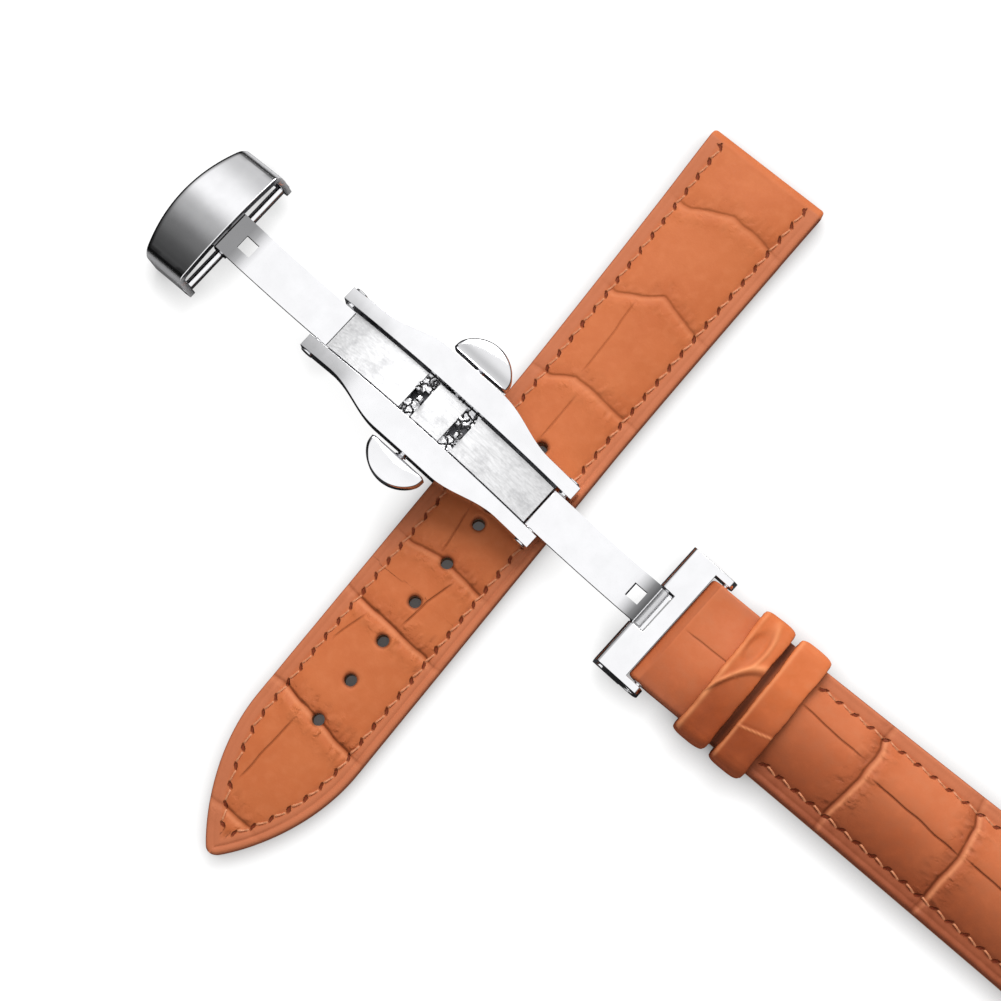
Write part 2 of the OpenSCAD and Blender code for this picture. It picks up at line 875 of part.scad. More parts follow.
head_top = head_clear + head_plate;
head_crown_r = (pow(head_w / 2, 2) + head_crown * head_crown) / (2 * head_crown);
head_bulge = head_rear - head_side;
head_rear_r = (pow(head_w / 2, 2) + head_bulge * head_bulge) / (2 * head_bulge);
bar_back = 6.4;
bar_len = 2.4;
bar_t = 0.7;
wall_front = 0.75;
lip_drop = 0.2;

module head_block(low, high, half, front) {
    intersection() {
        translate([-head_rear - over, -half, low]) cube([head_rear + over + front, 2 * half, high - low]);
        translate([head_rear_r - head_rear, 0, low - over]) cylinder(r = head_rear_r, h = tall, $fn = arc_fn);
    }
}

module cover_shell() {
    inner = head_w / 2 - head_wall;
    color("#c8c8cc") head_place() difference() {
        intersection() {
            head_block(-head_drop, head_top, head_w / 2, wall_front);
            translate([-tall / 2, 0, head_top - head_crown_r]) rotate([0, 90, 0])
                cylinder(r = head_crown_r, h = tall, $fn = arc_fn);
        }
        intersection() {
            translate([-tall / 2, -inner, -head_drop - over]) cube([tall, 2 * inner, tall]);
            translate([-tall / 2, 0, head_clear - head_crown_r + head_plate]) rotate([0, 90, 0])
                cylinder(r = head_crown_r - head_plate, h = tall, $fn = arc_fn);
        }
        translate([head_front, -head_w, head_clear - head_crown - lip_drop]) cube([over, 2 * head_w, tall]);
        rod_y(rod_r + glue_gap, 2 * head_w);
    }
}

module cover_rod() {
    color("#e4e4e8") head_place() {
        rod_y(rod_r, head_w);
    }
}

module cover_cross_bar() {
    color("#c0c0c4") head_place() difference() {
        translate([-bar_back, -head_w / 2 + head_wall + glue_gap, -head_drop])
            cube([bar_len, head_w - 2 * head_wall - 2 * glue_gap, bar_t]);
        translate([-bar_back + bar_len / 2, 0, -head_drop - over]) cylinder(d = peg_d / 2, h = tall);
    }
}

module strap_peg() {
    peg_h = 1.7;
    color("#d0d0d4") head_place() translate([-bar_back + bar_len / 2, 0, -head_drop + bar_t]) {
        translate([0, 0, glue_gap]) cylinder(d = peg_d, h = peg_h);
        translate([0, 0, -bar_t]) cylinder(d = peg_d / 2 - glue_gap, h = bar_t + peg_h);
    }
}

// T-bar about its pin, level, with the ears towards +X
module tbar_place() {
    in_frame() translate([open_x, 0, open_z]) children();
}

module tbar_profile() {
    round_r = 0.9;
    translate([-tbar_front + round_r, -tbar_down])
        square([tbar_front + tbar_back - round_r, tbar_up + tbar_down]);
    translate([-tbar_front, -tbar_down]) square([2 * round_r, tbar_up + tbar_down - round_r]);
    translate([-tbar_front + round_r, tbar_up - round_r]) circle(round_r);
}

module ear_profile() {
    translate([bar_x, bar_up]) circle(ear_r);
    translate([tbar_back - over, bar_up - ear_r]) square([bar_x - tbar_back + over, 2 * ear_r]);
}

module t_bar() {
    notch_back = end_knuckle_r + 0.15;
    color("#c8c8cc") tbar_place() difference() {
        union() {
            along_y(tbar_w) tbar_profile();
            for (s = [-1, 1]) translate([0, s * (ear_in + ear_out) / 2, 0]) along_y(ear_t) ear_profile();
        }
        translate([-tbar_front - over, -tbar_notch, -tbar_down - over])
            cube([tbar_front + notch_back + over, 2 * tbar_notch, tall]);
        rod_between(pin_r + glue_gap, -tbar_w, tbar_w / 4 + 0.2);
        translate([bar_x, 0, bar_up]) rod_y(tip_r + run_gap, 2 * tbar_w);
    }
}

module t_bar_pin() {
    color("#e0e0e4") tbar_place() rod_between(pin_r, -tbar_w / 2, tbar_w / 4);
}

long_top_leather();
long_filler();
long_lining();
long_stitching();
short_top_leather();
short_filler();
short_lining();
short_stitching();
fixed_keeper();
loose_keeper();
clasp_bar_tube();
clasp_bar_spring();
clasp_bar_tip_a();
clasp_bar_tip_b();
base_plate();
rail_a();
rail_b();
left_plate();
middle_pad();
right_plate();
left_pin();
right_pin();
catch_a();
catch_b();
button_a();
button_b();
button_spring_a();
button_spring_b();
arm_1();
arm_2();
cover_shell();
cover_rod();
cover_cross_bar();
strap_peg();
t_bar();
t_bar_pin();
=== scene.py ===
import json
from math import cos, pi, radians, sin
from types import SimpleNamespace

import bmesh
import bpy
import numpy as np
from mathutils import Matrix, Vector

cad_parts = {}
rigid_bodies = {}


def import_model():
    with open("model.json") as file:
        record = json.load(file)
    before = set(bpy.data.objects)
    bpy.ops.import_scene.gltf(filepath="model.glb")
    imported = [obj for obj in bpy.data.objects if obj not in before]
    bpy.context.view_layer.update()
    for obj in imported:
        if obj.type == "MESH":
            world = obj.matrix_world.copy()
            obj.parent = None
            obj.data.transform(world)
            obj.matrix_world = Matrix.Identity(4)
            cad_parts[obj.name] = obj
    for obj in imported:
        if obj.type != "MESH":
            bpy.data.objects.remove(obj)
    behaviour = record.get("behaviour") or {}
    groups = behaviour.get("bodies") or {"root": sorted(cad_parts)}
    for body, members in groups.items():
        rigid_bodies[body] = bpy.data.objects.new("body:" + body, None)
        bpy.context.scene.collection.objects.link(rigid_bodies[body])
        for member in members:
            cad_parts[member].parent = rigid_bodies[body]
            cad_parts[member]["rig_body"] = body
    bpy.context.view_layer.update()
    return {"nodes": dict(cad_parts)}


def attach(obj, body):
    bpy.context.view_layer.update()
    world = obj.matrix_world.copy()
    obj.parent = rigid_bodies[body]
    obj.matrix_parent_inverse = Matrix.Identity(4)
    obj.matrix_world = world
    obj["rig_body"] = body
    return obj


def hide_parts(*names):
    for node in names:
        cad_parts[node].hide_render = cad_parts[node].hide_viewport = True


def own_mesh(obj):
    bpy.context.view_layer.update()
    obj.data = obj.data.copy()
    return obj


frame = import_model()


# Long strap, top leather. One piece of calf leather pressed with a crocodile grain. It is folded
# round the tunnel for the watch's spring bar, glued over the padding, and sewn 2 mm inside its
# edge; eight holes for the strap peg are punched through it.

long_len, tip_len, lug_half, strap_half = 112.0, 18.5, 9.0, 8.0
long_flare, flare_power, tip_power = 42.0, 1.3, 0.87
point_r, point_x, point_len, corner_r = 1.32, 110.267, 0.8, 0.6
nose_r, tunnel_r, leather_t, lining_t, margin_z, edge_r = 1.5, 0.8, 0.9, 0.7, 2.4, 0.42
hole_pitch, hole_d, first_hole = 6.3, 1.6, 20.7
hole_xs = long_len - first_hole - hole_pitch * np.arange(8)
cross_x, lug_reach, strap_turn = 5.9, 53.3, radians(93.15)
seam_in, stitch_pitch = 2.1, 2.45


def long_half(x):
    """Half width x mm from the watch end: 8, plus 1 * (1 - x / 42)^1.3 over the flare, and
    times (1 - t^2)^0.87 where t runs from 0 to 1 over the tip. The point is a circle of radius
    1.32, and the corners of the watch end are rounded off. The last 16 mm are drawn out by
    0.8 * ((x - 96) / 16.4)^2."""
    x = np.asarray(x, float)
    x = x - 0.8 * np.clip((x - 96) / 16.4, 0, 1) ** 2
    flare = (lug_half - strap_half) * np.clip(1 - x / long_flare, 0, 1) ** flare_power
    t = np.clip(1 - (long_len - np.minimum(x, long_len - point_len)) / tip_len, 0, 1)
    body = (strap_half + flare) * (1 - t * t) ** tip_power
    point = np.sqrt(np.clip(point_r**2 - np.clip(x - point_x, 0, None) ** 2, 0, None))
    corner = 0.2 * (1 - np.sqrt(1 - np.clip((corner_r - x) / corner_r, 0, 1) ** 2))
    return np.where(x < long_len - point_len, body, point) - corner


def long_place(p):
    """Strap coordinates to the frame: turned half round, out along the strap, then about Z."""
    u, v = lug_reach - p[:, 0], -p[:, 1]
    c, s = cos(strap_turn), sin(strap_turn)
    return np.stack([u * c - v * s - cross_x, u * s + v * c, p[:, 2]], 1)


def bell(x, middle, width):
    """exp(-((x - middle) / width)^2)."""
    return np.exp(-(((x - middle) / width) ** 2))


def step(x, start, stop):
    """0 before start, 1 after stop, and 3 t^2 - 2 t^3 in between."""
    t = np.clip((x - start) / (stop - start), 0, 1)
    return t * t * (3 - 2 * t)


def between(x, a, b, c, d):
    """0 before a, 1 from b to c, and 0 after d, with a smooth step on either side."""
    return step(x, a, b) * (1 - step(x, c, d))


def unevenness(x, y, size, seed):
    """Smooth random height from -1 to 1: random values on a lattice of that size in mm, blended
    by 3 t^2 - 2 t^3 along each axis."""
    lattice = np.random.RandomState(seed).uniform(-1, 1, (64, 64))
    u, v = x / size + 20, y / size + 20
    i, j = np.floor(u).astype(int), np.floor(v).astype(int)
    s, t = u - i, v - j
    s, t = s * s * (3 - 2 * s), t * t * (3 - 2 * t)
    a, b = lattice[i % 64, j % 64], lattice[(i + 1) % 64, j % 64]
    c, d = lattice[i % 64, (j + 1) % 64], lattice[(i + 1) % 64, (j + 1) % 64]
    return (a * (1 - s) + b * s) * (1 - t) + (c * (1 - s) + d * s) * t


def distance_along(line):
    """How far along a bent line each of its points lies."""
    return np.concatenate([[0], np.cumsum(np.hypot(*np.diff(line, axis=0).T))])


def nearest(x, y, line):
    """Distance from each point to a bent line, and how far along the line that place lies."""
    a, b, run = line[:-1], line[1:], distance_along(line)
    best, place = np.full(x.shape, 1e9), np.zeros(x.shape)
    for k in range(len(a)):
        e = b[k] - a[k]
        t = np.clip(((x - a[k, 0]) * e[0] + (y - a[k, 1]) * e[1]) / (e @ e), 0, 1)
        d = np.hypot(x - a[k, 0] - t * e[0], y - a[k, 1] - t * e[1])
        closer = d < best
        best = np.where(closer, d, best)
        place = np.where(closer, run[k] + t * (run[k + 1] - run[k]), place)
    return best, place


def edge_lines(half, x0, x1, inset):
    """The strap's outline at y > 0 as a bent line, and the seam that keeps inset from it: each
    point (x, half(x)) moved along the outline's inward normal."""
    x = np.concatenate([np.linspace(x0, x1 - 20, 50), x1 - 20 * np.linspace(1, 0, 70)[1:] ** 1.6])
    h = half(x)
    slope = (half(x + 0.03) - half(x - 0.03)) / 0.06
    n = np.hypot(slope, 1)
    return np.stack([x, h], 1), np.stack([x + slope * inset / n, h - inset / n], 1)


def scale_grooves(x, y, edge, grooves, creases, seed):
    """The crocodile pattern. A groove is a line x = g(y), a crease is a fine line y = g(x).
    Returns the height of the broad forms, and for the finish, which adds the sharp ones, the
    signed distance to the nearest groove and crease, each with its strength."""
    height = 0.04 * unevenness(x, y, 2.9, seed) + 0.02 * unevenness(x, y, 1.3, seed + 1)
    inside = step(edge, seam_in - 0.5, seam_in + 0.5)
    groove, depth = np.full(x.shape, 6.0), np.zeros(x.shape)
    for k, (points, strength) in enumerate(grooves):
        px, py = np.array(points, float).T
        order = np.argsort(py)
        wander = 0.2 * unevenness(y, y * 0 + k, 1.7, seed + 5)
        s = x - np.interp(y, py[order], px[order]) - wander
        ends = between(y, py.min() - 2.0, py.min(), py.max(), py.max() + 2.0)
        f = strength * (0.35 + 0.65 * inside) * (0.3 + 0.7 * ends)
        swell = 0.1 * bell(s, 1.5, 0.8) - 0.07 * bell(s, -1.3, 0.9)
        height += f * (swell - 0.15 * bell(s, 0.15, 0.75))
        closer = np.abs(s) < np.abs(groove)
        groove = np.where(closer, s, groove)
        depth = np.where(closer, f * (1 - step(np.abs(s), 4.2, 5.2)), depth)
    crease, fine = np.full(x.shape, 2.0), np.zeros(x.shape)
    for points, strength in creases:
        px, py = np.array(points, float).T
        s = y - np.interp(x, px, py) - 0.1 * unevenness(x, x * 0, 2.3, seed + 3)
        f = strength * between(x, px.min() - 0.8, px.min() + 1.2, px.max() - 0.8, px.max() + 1)
        height -= 0.07 * f * bell(s, 0, 0.5)
        closer = (np.abs(s) < np.abs(crease)) & (f > 0)
        crease = np.where(closer, s, crease)
        fine = np.where(closer, f * (1 - step(np.abs(s), 1.0, 1.5)), fine)
    return height, {"groove": np.clip(groove, -6, 6), "depth": depth, "crease": crease, "fine": fine}


def edge_roll(edge, r):
    """How far a rounded edge of radius r has dropped at a distance from the outline."""
    d = np.clip(edge, 0, r)
    return r - np.sqrt(np.clip(r * r - (r - d) ** 2, 0, None))


def layer(stations, across, half, holes=(), cells=24):
    """A layer of the strap as one closed skin. Each station of the path is (x, z) of the outer
    face, its normal in that plane, and (x, z) of the inner face; the layer is the outer face
    carried across the strap, from -half to +half, and the inner face back. Round each hole the
    squares of the grid turn into circles: ring k lies at radius r + (k - k0) * cell near the
    hole and is back on its square at ring k1. Returns grids x, y of both faces, and the faces
    as corner numbers."""
    o, inner = stations[:, :2], stations[:, 4:6]
    n, m = len(stations), len(across)
    y = half(o[:, 0])[:, None] * across[None, :]
    x_out, x_in = np.repeat(o[:, :1], m, 1), np.repeat(inner[:, :1], m, 1)
    y_out, y_in = y.copy(), y.copy()
    keep = np.ones((n - 1, m - 1), bool)
    walls = []
    k0, k1, middle = cells // 6, cells // 3, m // 2
    flat = np.flatnonzero(stations[:, 6] > 0)
    for hx in holes:
        i0 = flat[np.argmin(np.abs(o[flat, 0] - hx))]
        di, dj = np.mgrid[-k1 : k1 + 1, -k1 : k1 + 1]
        ring = np.maximum(np.abs(di), np.abs(dj))
        part = (slice(i0 - k1, i0 + k1 + 1), slice(middle - k1, middle + k1 + 1))
        angle = np.arctan2(dj * 1.0, di * 1.0)
        cell = o[i0 + 1, 0] - o[i0, 0]
        radius = hole_d / 2 + np.clip(ring - k0, 0, None) * cell
        back = np.clip((ring - k0) / (k1 - k0), 0, 1)
        cx = hx + radius * np.cos(angle) * (1 - back) + (x_out[part] - hx) * back
        cy = radius * np.sin(angle) * (1 - back) + y_out[part] * back
        for grid, moved in ((x_out, cx), (y_out, cy), (x_in, cx), (y_in, cy)):
            grid[part] = np.where(ring >= k0, moved, grid[part])
        keep[i0 - k0 : i0 + k0, middle - k0 : middle + k0] = False
        turn = np.arange(8 * k0)
        side, q = turn // (2 * k0), turn % (2 * k0)
        ri = np.choose(side, [q * 0 + k0, k0 - q, q * 0 - k0, q - k0]) + i0
        rj = np.choose(side, [q - k0, q * 0 + k0, k0 - q, q * 0 - k0]) + middle
        loop = ri * m + rj
        after = np.roll(loop, -1)
        walls.append(np.stack([loop, after, after + n * m, loop + n * m], 1))
    i, j = np.nonzero(keep)
    top = np.stack([i * m + j, (i + 1) * m + j, (i + 1) * m + j + 1, i * m + j + 1], 1)
    low = top[:, ::-1] + n * m
    rows, cols = np.arange(n - 1), np.arange(m - 1)
    left = np.stack([rows * m, rows * m + n * m, (rows + 1) * m + n * m, (rows + 1) * m], 1)
    right = left[:, ::-1] + m - 1
    first = np.stack([cols, cols + 1, cols + 1 + n * m, cols + n * m], 1)
    last = first[:, ::-1] + (n - 1) * m
    faces = np.concatenate([top, low, left, right, first, last, *walls]).tolist()
    return x_out, y_out, x_in, y_in, faces


def tube(rows, columns, base=0, ring=False, caps=True):
    """Faces of a tube whose points run round it, row by row; a ring also closes on itself."""
    i, j = np.mgrid[0 : rows - (not ring), 0:columns]
    i2, j2 = (i + 1) % rows, (j + 1) % columns
    corners = [i * columns + j, i2 * columns + j, i2 * columns + j2, i * columns + j2]
    faces = (np.stack(corners, 2).reshape(-1, 4) + base).tolist()
    if caps and not ring:
        first = base + np.arange(columns)
        faces += [first.tolist(), (first[::-1] + (rows - 1) * columns).tolist()]
    return faces


def joined(*parts):
    """Several pairs of points and faces as one."""
    faces, base = [], 0
    for points, own in parts:
        faces += [[corner + base for corner in face] for face in own]
        base += len(points)
    return np.concatenate([points for points, _ in parts]), faces


def new_object(name, mesh, b, body, node, material, smooth):
    """Fills the mesh from b, turned outward, and smooth but for edges sharper than an angle. The
    object rides on a body and takes the material; the CAD node that it stands for is hidden."""
    bmesh.ops.recalc_face_normals(b, faces=b.faces)
    b.to_mesh(mesh)
    b.free()
    mesh.shade_smooth()
    mesh.set_sharp_from_angle(angle=radians(smooth))
    mesh.materials.append(material)
    o = bpy.data.objects.new(name, mesh)
    bpy.context.scene.collection.objects.link(o)
    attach(o, body)
    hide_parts(node)
    return o


def new_piece(name, points, faces, body, node, slot, material, smooth=40, attributes=None, uv=None):
    """A piece from points in mm; attributes give one number a point, and uv gives two."""
    mesh = bpy.data.meshes.new(name)
    mesh.from_pydata((points * 0.001).tolist(), [], faces)
    for key, values in (attributes or {}).items():
        data = mesh.attributes.new(key, "FLOAT", "POINT")
        data.data.foreach_set("value", np.asarray(values, np.float32).ravel())
    if uv is not None:
        corner = np.zeros(len(mesh.loops), np.int32)
        mesh.loops.foreach_get("vertex_index", corner)
        mesh.uv_layers.new(name="seam").data.foreach_set("uv", uv[corner].astype(np.float32).ravel())
    b = bmesh.new()
    b.from_mesh(mesh)
    bmesh.ops.remove_doubles(b, verts=b.verts, dist=2e-7)
    return new_object(name, mesh, b, body, node, material, smooth)


def srgb(r, g, b):
    """A colour given as it looks on a screen, 0 to 255, as the linear values a shader takes."""
    c = np.array([r, g, b]) / 255
    return [*np.where(c <= 0.04045, c / 12.92, ((c + 0.055) / 1.055) ** 2.4), 1]


class Value:
    """What comes out of a node; arithmetic with it adds the nodes that do it."""

    def __init__(self, graph, socket):
        self.graph, self.socket = graph, socket

    def __add__(self, other):
        return self.graph.math("ADD", self, other)

    def __sub__(self, other):
        return self.graph.math("SUBTRACT", self, other)

    def __rsub__(self, other):
        return self.graph.math("SUBTRACT", other, self)

    def __mul__(self, other):
        return self.graph.math("MULTIPLY", self, other)

    def __truediv__(self, other):
        return self.graph.math("DIVIDE", self, other)


class Graph:
    """The nodes of a finish or of the room, and one call for each kind used here."""

    def __init__(self, owner):
        owner.use_nodes = True
        self.tree = owner.node_tree

    def join(self, value, socket):
        if isinstance(value, Value):
            self.tree.links.new(value.socket, socket)
        else:
            socket.default_value = value

    def node(self, kind, inputs=None, output=0, **settings):
        n = self.tree.nodes.new("ShaderNode" + kind)
        for key, value in settings.items():
            setattr(n, key, value)
        for key, value in (inputs or {}).items():
            self.join(value, n.inputs[key])
        return Value(self, n.outputs[output])

    def math(self, operation, a, b=0.0):
        return self.node("Math", {0: a, 1: b}, operation=operation)

    def split(self, vector):
        parts = self.node("SeparateXYZ", {0: vector}).socket.node.outputs
        return [Value(self, part) for part in parts]

    def place(self, scale=(1000, 1000, 1000)):
        """Object coordinates in mm, or stretched."""
        return self.node("Mapping", {"Vector": self.node("TexCoord", output="Object"), "Scale": scale})

    def noise(self, where, scale, detail=3.0, roughness=0.5):
        inputs = {"Vector": where, "Scale": scale, "Detail": detail, "Roughness": roughness}
        return self.node("TexNoise", inputs)

    def bell(self, value, middle, width):
        """exp(-((value - middle) / width)^2)."""
        t = (value - middle) / width
        return self.math("EXPONENT", t * t * -1.0)

    def ramp(self, value, start, stop, low=0.0, high=1.0, **settings):
        """low to high as the value goes from start to stop."""
        inputs = {"Value": value, "From Min": start, "From Max": stop, "To Min": low, "To Max": high}
        return self.node("MapRange", inputs, **settings)

    def mix(self, amount, a, b):
        return self.node("Mix", {0: amount, 6: a, 7: b}, 2, data_type="RGBA")

    def ray(self, kind):
        return self.node("LightPath", output="Is " + kind + " Ray")


class Finish(Graph):
    """A material under construction, round its main shader."""

    def __init__(self, name, roughness, **settings):
        self.material = bpy.data.materials.new(name)
        super().__init__(self.material)
        self.shader = self.tree.nodes["Principled BSDF"]
        self.set(Roughness=roughness, **settings)

    def set(self, **settings):
        for key, value in settings.items():
            self.join(value, self.shader.inputs[key.replace("_", " ")])

    def attribute(self, name):
        return self.node("Attribute", output="Fac", attribute_name=name)

    def bump(self, value, distance, strength=1.0):
        """Adds a relief of that many mm over those already there."""
        normal = self.shader.inputs["Normal"]
        inputs = {"Height": value, "Distance": distance * 0.001, "Strength": strength}
        if normal.links:
            inputs["Normal"] = Value(self, normal.links[0].from_socket)
        self.join(self.node("Bump", inputs), normal)


def across_strap(cells):
    """Places across the strap from -1 to 1: even in the middle, close together at the seam and
    the edge."""
    middle = np.arange(0, 5.45, 8 / 34 * 24 / cells)
    if cells == 24:
        seam = [5.6, 5.72, 5.84, 5.96, 6.08, 6.25, 6.5, 6.75, 6.9, 7.0]
        outer = seam + [7.1, 7.2, 7.35, 7.5, 7.64, 7.76, 7.86, 7.94, 8]
    else:
        outer = [6, 7, 7.5, 7.8, 8]
    right = np.concatenate([middle, outer]) / 8
    return np.concatenate([-right[:0:-1], right])


def straight(x, z, low, normal=1, flat=0):
    """Stations along one level stretch: outer (x, z), normal, inner (x, low), and a mark where
    holes may lie."""
    one = np.ones(len(x))
    return np.stack([x, one * z, 0 * x, one * normal, x, one * low, one * flat], 1)


def fold_round(cx, cz, r, start, stop, count):
    """Stations round a folded end: outer at radius r about (cx, cz), inner at the tunnel."""
    a = np.radians(np.linspace(start, stop, count))
    c, s = np.cos(a), np.sin(a)
    return np.stack([cx + r * c, cz + r * s, c, s, cx + tunnel_r * c, cz + tunnel_r * s, 0 * a], 1)


def past_tunnel(cx, cz, r, x0, x1, start, stop, count):
    """Stations over a tunnel's far side: the outer face level, the inner round the tunnel."""
    rows = straight(np.linspace(x0, x1, count), cz + r, 0)
    a = np.radians(np.linspace(start, stop, count))
    rows[:, 4], rows[:, 5] = cx + tunnel_r * np.cos(a), cz + tunnel_r * np.sin(a)
    return rows


def long_margin(x):
    """Height of the flat margin: 3.0 over the tunnel, falling to 2.4 from x = 2 to 14."""
    return margin_z + (2 * nose_r - margin_z) * (1 - step(x, 2 * nose_r - 1, 2 * nose_r + 11))


long_grooves = [
    ([(10.8, -5.9), (10.6, -4.7), (9.2, -1.4), (8.4, 0.4), (8.6, 5.0), (9.0, 7.1)], 0.5),
    ([(25.3, -5.6), (23.9, -2.4), (22.2, -0.1), (22.5, 1.5), (23.7, 6.6)], 0.55),
    ([(39.3, -6.8), (38.9, -5.1), (37.4, -2.3), (37.6, 2), (37.8, 6.5)], 0.6),
    ([(51.8, -6.5), (52.4, -2), (51.6, 1.5), (52.2, 6.5)], 0.8),
    ([(66.5, -6.7), (66.7, -5.1), (66.0, -1.0), (66.3, 2), (66.8, 5.6)], 1.0),
    ([(76.0, -7.6), (76.3, -5.3), (76.7, -0.2), (77.2, 6.3)], 1.1),
    ([(90.6, -8.0), (90.4, -5.8), (91.3, -0.8), (92.3, 6.0)], 1.2),
    ([(106.9, -4.8), (106.7, -2.3), (107.0, 1.2)], 0.9),
]
long_creases = [
    ([(25.1, -2.5), (35.8, -2.1)], 0.5),
    ([(39.5, -0.7), (46.1, -0.8)], 0.5),
    ([(59.0, -2.2), (65.0, -1.5)], 0.7),
    ([(67.7, 2.3), (71.5, 1.3), (75.4, 0.8)], 0.9),
    ([(77.4, -3.8), (82.1, -5.1)], 0.7),
    ([(93.4, -2.3), (102.6, -3.0)], 0.8),
]
long_end = long_len + 0.35
long_edge, long_seam = edge_lines(long_half, 0, long_end, seam_in)
long_seam = long_seam[: 1 + np.argmax(long_seam[:, 1] < 0.05)]
first_x = 2.2 - stitch_pitch / 2
first = [[first_x, np.interp(first_x, *long_seam[:30].T)]]
long_seam = np.concatenate([first, long_seam[long_seam[:, 0] > first_x]])


def long_top(x, y):
    """Height of the leather over its flat margin: the padding's crown, the pressed seam line,
    the crease along the edge, the crocodile pattern and the sunken rims of the holes."""
    edge, _ = nearest(x, np.abs(y), long_edge)
    edge = np.where(x < 30, long_half(x) - np.abs(y), edge)
    inward = np.clip((edge - seam_in + 0.1) / (strap_half - seam_in), 0, 1)
    run = step(x, 0.2, 8.5) * (1 - 0.6 * step(x, 88, 106))
    height = 0.78 * np.sin(inward * pi / 2) ** 0.8 * run
    height -= 0.1 * bell(edge, seam_in, 0.32) * step(x, 1.2, 3)
    bead = np.where(y > 0, 1.0, 0.35) * (0.35 + 0.65 * step(x, 40, 50)) * step(x, 2, 6)
    height += bead * (0.05 * bell(edge, 0.45, 0.3) - 0.13 * bell(edge, 0.98, 0.17))
    scales, lines = scale_grooves(x, y, edge, long_grooves, long_creases, 11)
    height += scales * step(x, 1.5, 4)
    # painted shade, darker over the last part toward the tip
    lines["dark"] = 0.1 * step(x, 94, 111)
    for hx in hole_xs:
        rim = np.clip(np.hypot(x - hx, y) - hole_d / 2, 0, None)
        height -= 0.22 * np.exp(-rim / 0.16)
        # painted shade round each punched hole's rim
        lines["dark"] += 0.8 * np.exp(-rim / 0.1)
    lines["edge"] = edge
    return height - edge_roll(edge, edge_r), lines


def leather_layer(strap, part, stations, cells, half, top, node, slot, material, margin=None):
    """Builds one layer of a strap: the grid of both faces, the height field on the outer one,
    and what its finish reads: the pattern's lines, the edge, and the place along the seam. The
    top leather alone has a margin; its inner face lifts over the padding to its thickness."""
    x1, y1, x2, y2, faces = layer(stations, across_strap(cells), half, strap.holes, cells)
    up = stations[:, 3:4] > 0.99
    over, lines = top(x1, y1)
    over = np.where(up, over, -edge_roll(half(stations[:, :1]) - np.abs(y1), edge_r))
    z1 = stations[:, 1:2] + stations[:, 3:4] * over
    if margin:
        z1 = np.where(up, margin(x1) + over, z1)
    x1 = x1 + stations[:, 2:3] * over
    z2 = stations[:, 5:6] + 0 * y1
    if margin:
        room = between(x1, 3.9, 4.4, strap.pad_end, strap.pad_end + 0.5) * (1 - step(np.abs(y1), 4.9, 5.2))
        z2 = z2 + up * room * np.clip(z1 - leather_t - z2, 0, None)
    outer, inner = np.stack([x1, y1, z1], 2), np.stack([x2, y2, z2], 2)
    off_pattern = {"groove": 6.0, "crease": 2.0, "edge": 3.0}
    attributes = {"across": np.concatenate([y1, y1])}
    for key, value in lines.items():
        rest = off_pattern.get(key, 0.0)
        hidden = np.full(y1.shape, -1.0 if key == "edge" else rest)
        attributes[key] = np.concatenate([np.where(up, value, rest), hidden])
    off, place_on = nearest(x1, np.abs(y1), strap.seam)
    sign = np.where(lines["edge"] < seam_in, 1, -1) * np.sign(y1)
    off = np.where(up & (place_on > 1e-6), off, 9.0)
    along = np.where((off > 3) | (np.abs(y1) < 0.4), 0, place_on / stitch_pitch)
    uv = np.stack([along, off * sign], 2).reshape(-1, 2)
    uv = np.concatenate([uv, np.full(uv.shape, 9.0)])
    points = strap.place(np.concatenate([outer, inner]).reshape(-1, 3))
    name = strap.name + "_" + part
    return new_piece(name, points, faces, strap.name, node, slot, material, 50, attributes, uv)


def pressed_pattern(f, base, shade_tone, lip_highlight, where, cloud, patch):
    """The sharp part of the crocodile pattern, from the signed distance s to the nearest groove
    and the distance to a crease: a dark line painted as the groove's shade, a painted shaded side,
    a painted highlight on the lip, wrinkles that run out from the groove with painted shade in their
    hollows, a valley with a steep and a gentle side, and hair-fine creases painted dark as their shade."""
    s, depth, across = f.attribute("groove"), f.attribute("depth"), f.attribute("across")
    line_patchiness = f.ramp(f.noise(where, 0.55, 2), 0.35, 0.6) * 0.65 + 0.35
    # painted shade on the groove's near side (s < 0), stronger at larger y across the strap
    base = f.mix(depth * f.bell(s, -0.4, 1.1) * (f.ramp(across, -1.0, 6.0) * 0.2 + 0.22), base, shade_tone)
    # painted shade: a dark line along the groove, patchy along its length
    base = f.mix(depth * line_patchiness * f.bell(s, -0.02, 0.11) * 0.75, base, shade_tone)
    # painted highlight on the groove's lip
    base = f.mix(depth * f.bell(s, 0.52, 0.3) * lip_highlight, base, srgb(242, 154, 106))
    hair = f.attribute("fine") * f.bell(f.attribute("crease"), 0.0, 0.12)
    # painted shade in the hair-fine creases
    base = f.mix(hair * 0.65, base, shade_tone)
    fingers = f.noise(f.node("CombineXYZ", {0: s * 0.3, 1: across, 2: cloud}), 1.15, 0.5, 0.3)
    out = f.ramp(s, 0.2, 0.9) * (1 - f.ramp(s, 1.2, 3.6))
    back = f.ramp(s, -3.0, -1.0) * (1 - f.ramp(s, -0.6, -0.2))
    folds = (fingers - 0.5) * (f.math("MAXIMUM", out, back) * depth * f.ramp(patch, 0.42, 0.58))
    # painted shade in the hollows of the wrinkles
    base = f.mix(f.ramp(folds, 0.02, -0.16) * 0.2, base, shade_tone)
    f.bump(folds, 0.6)
    f.bump(depth * f.bell(s, 0.0, f.ramp(s, -0.03, 0.05, 0.22, 0.85)), -0.22)
    f.bump(hair, -0.16)
    return base


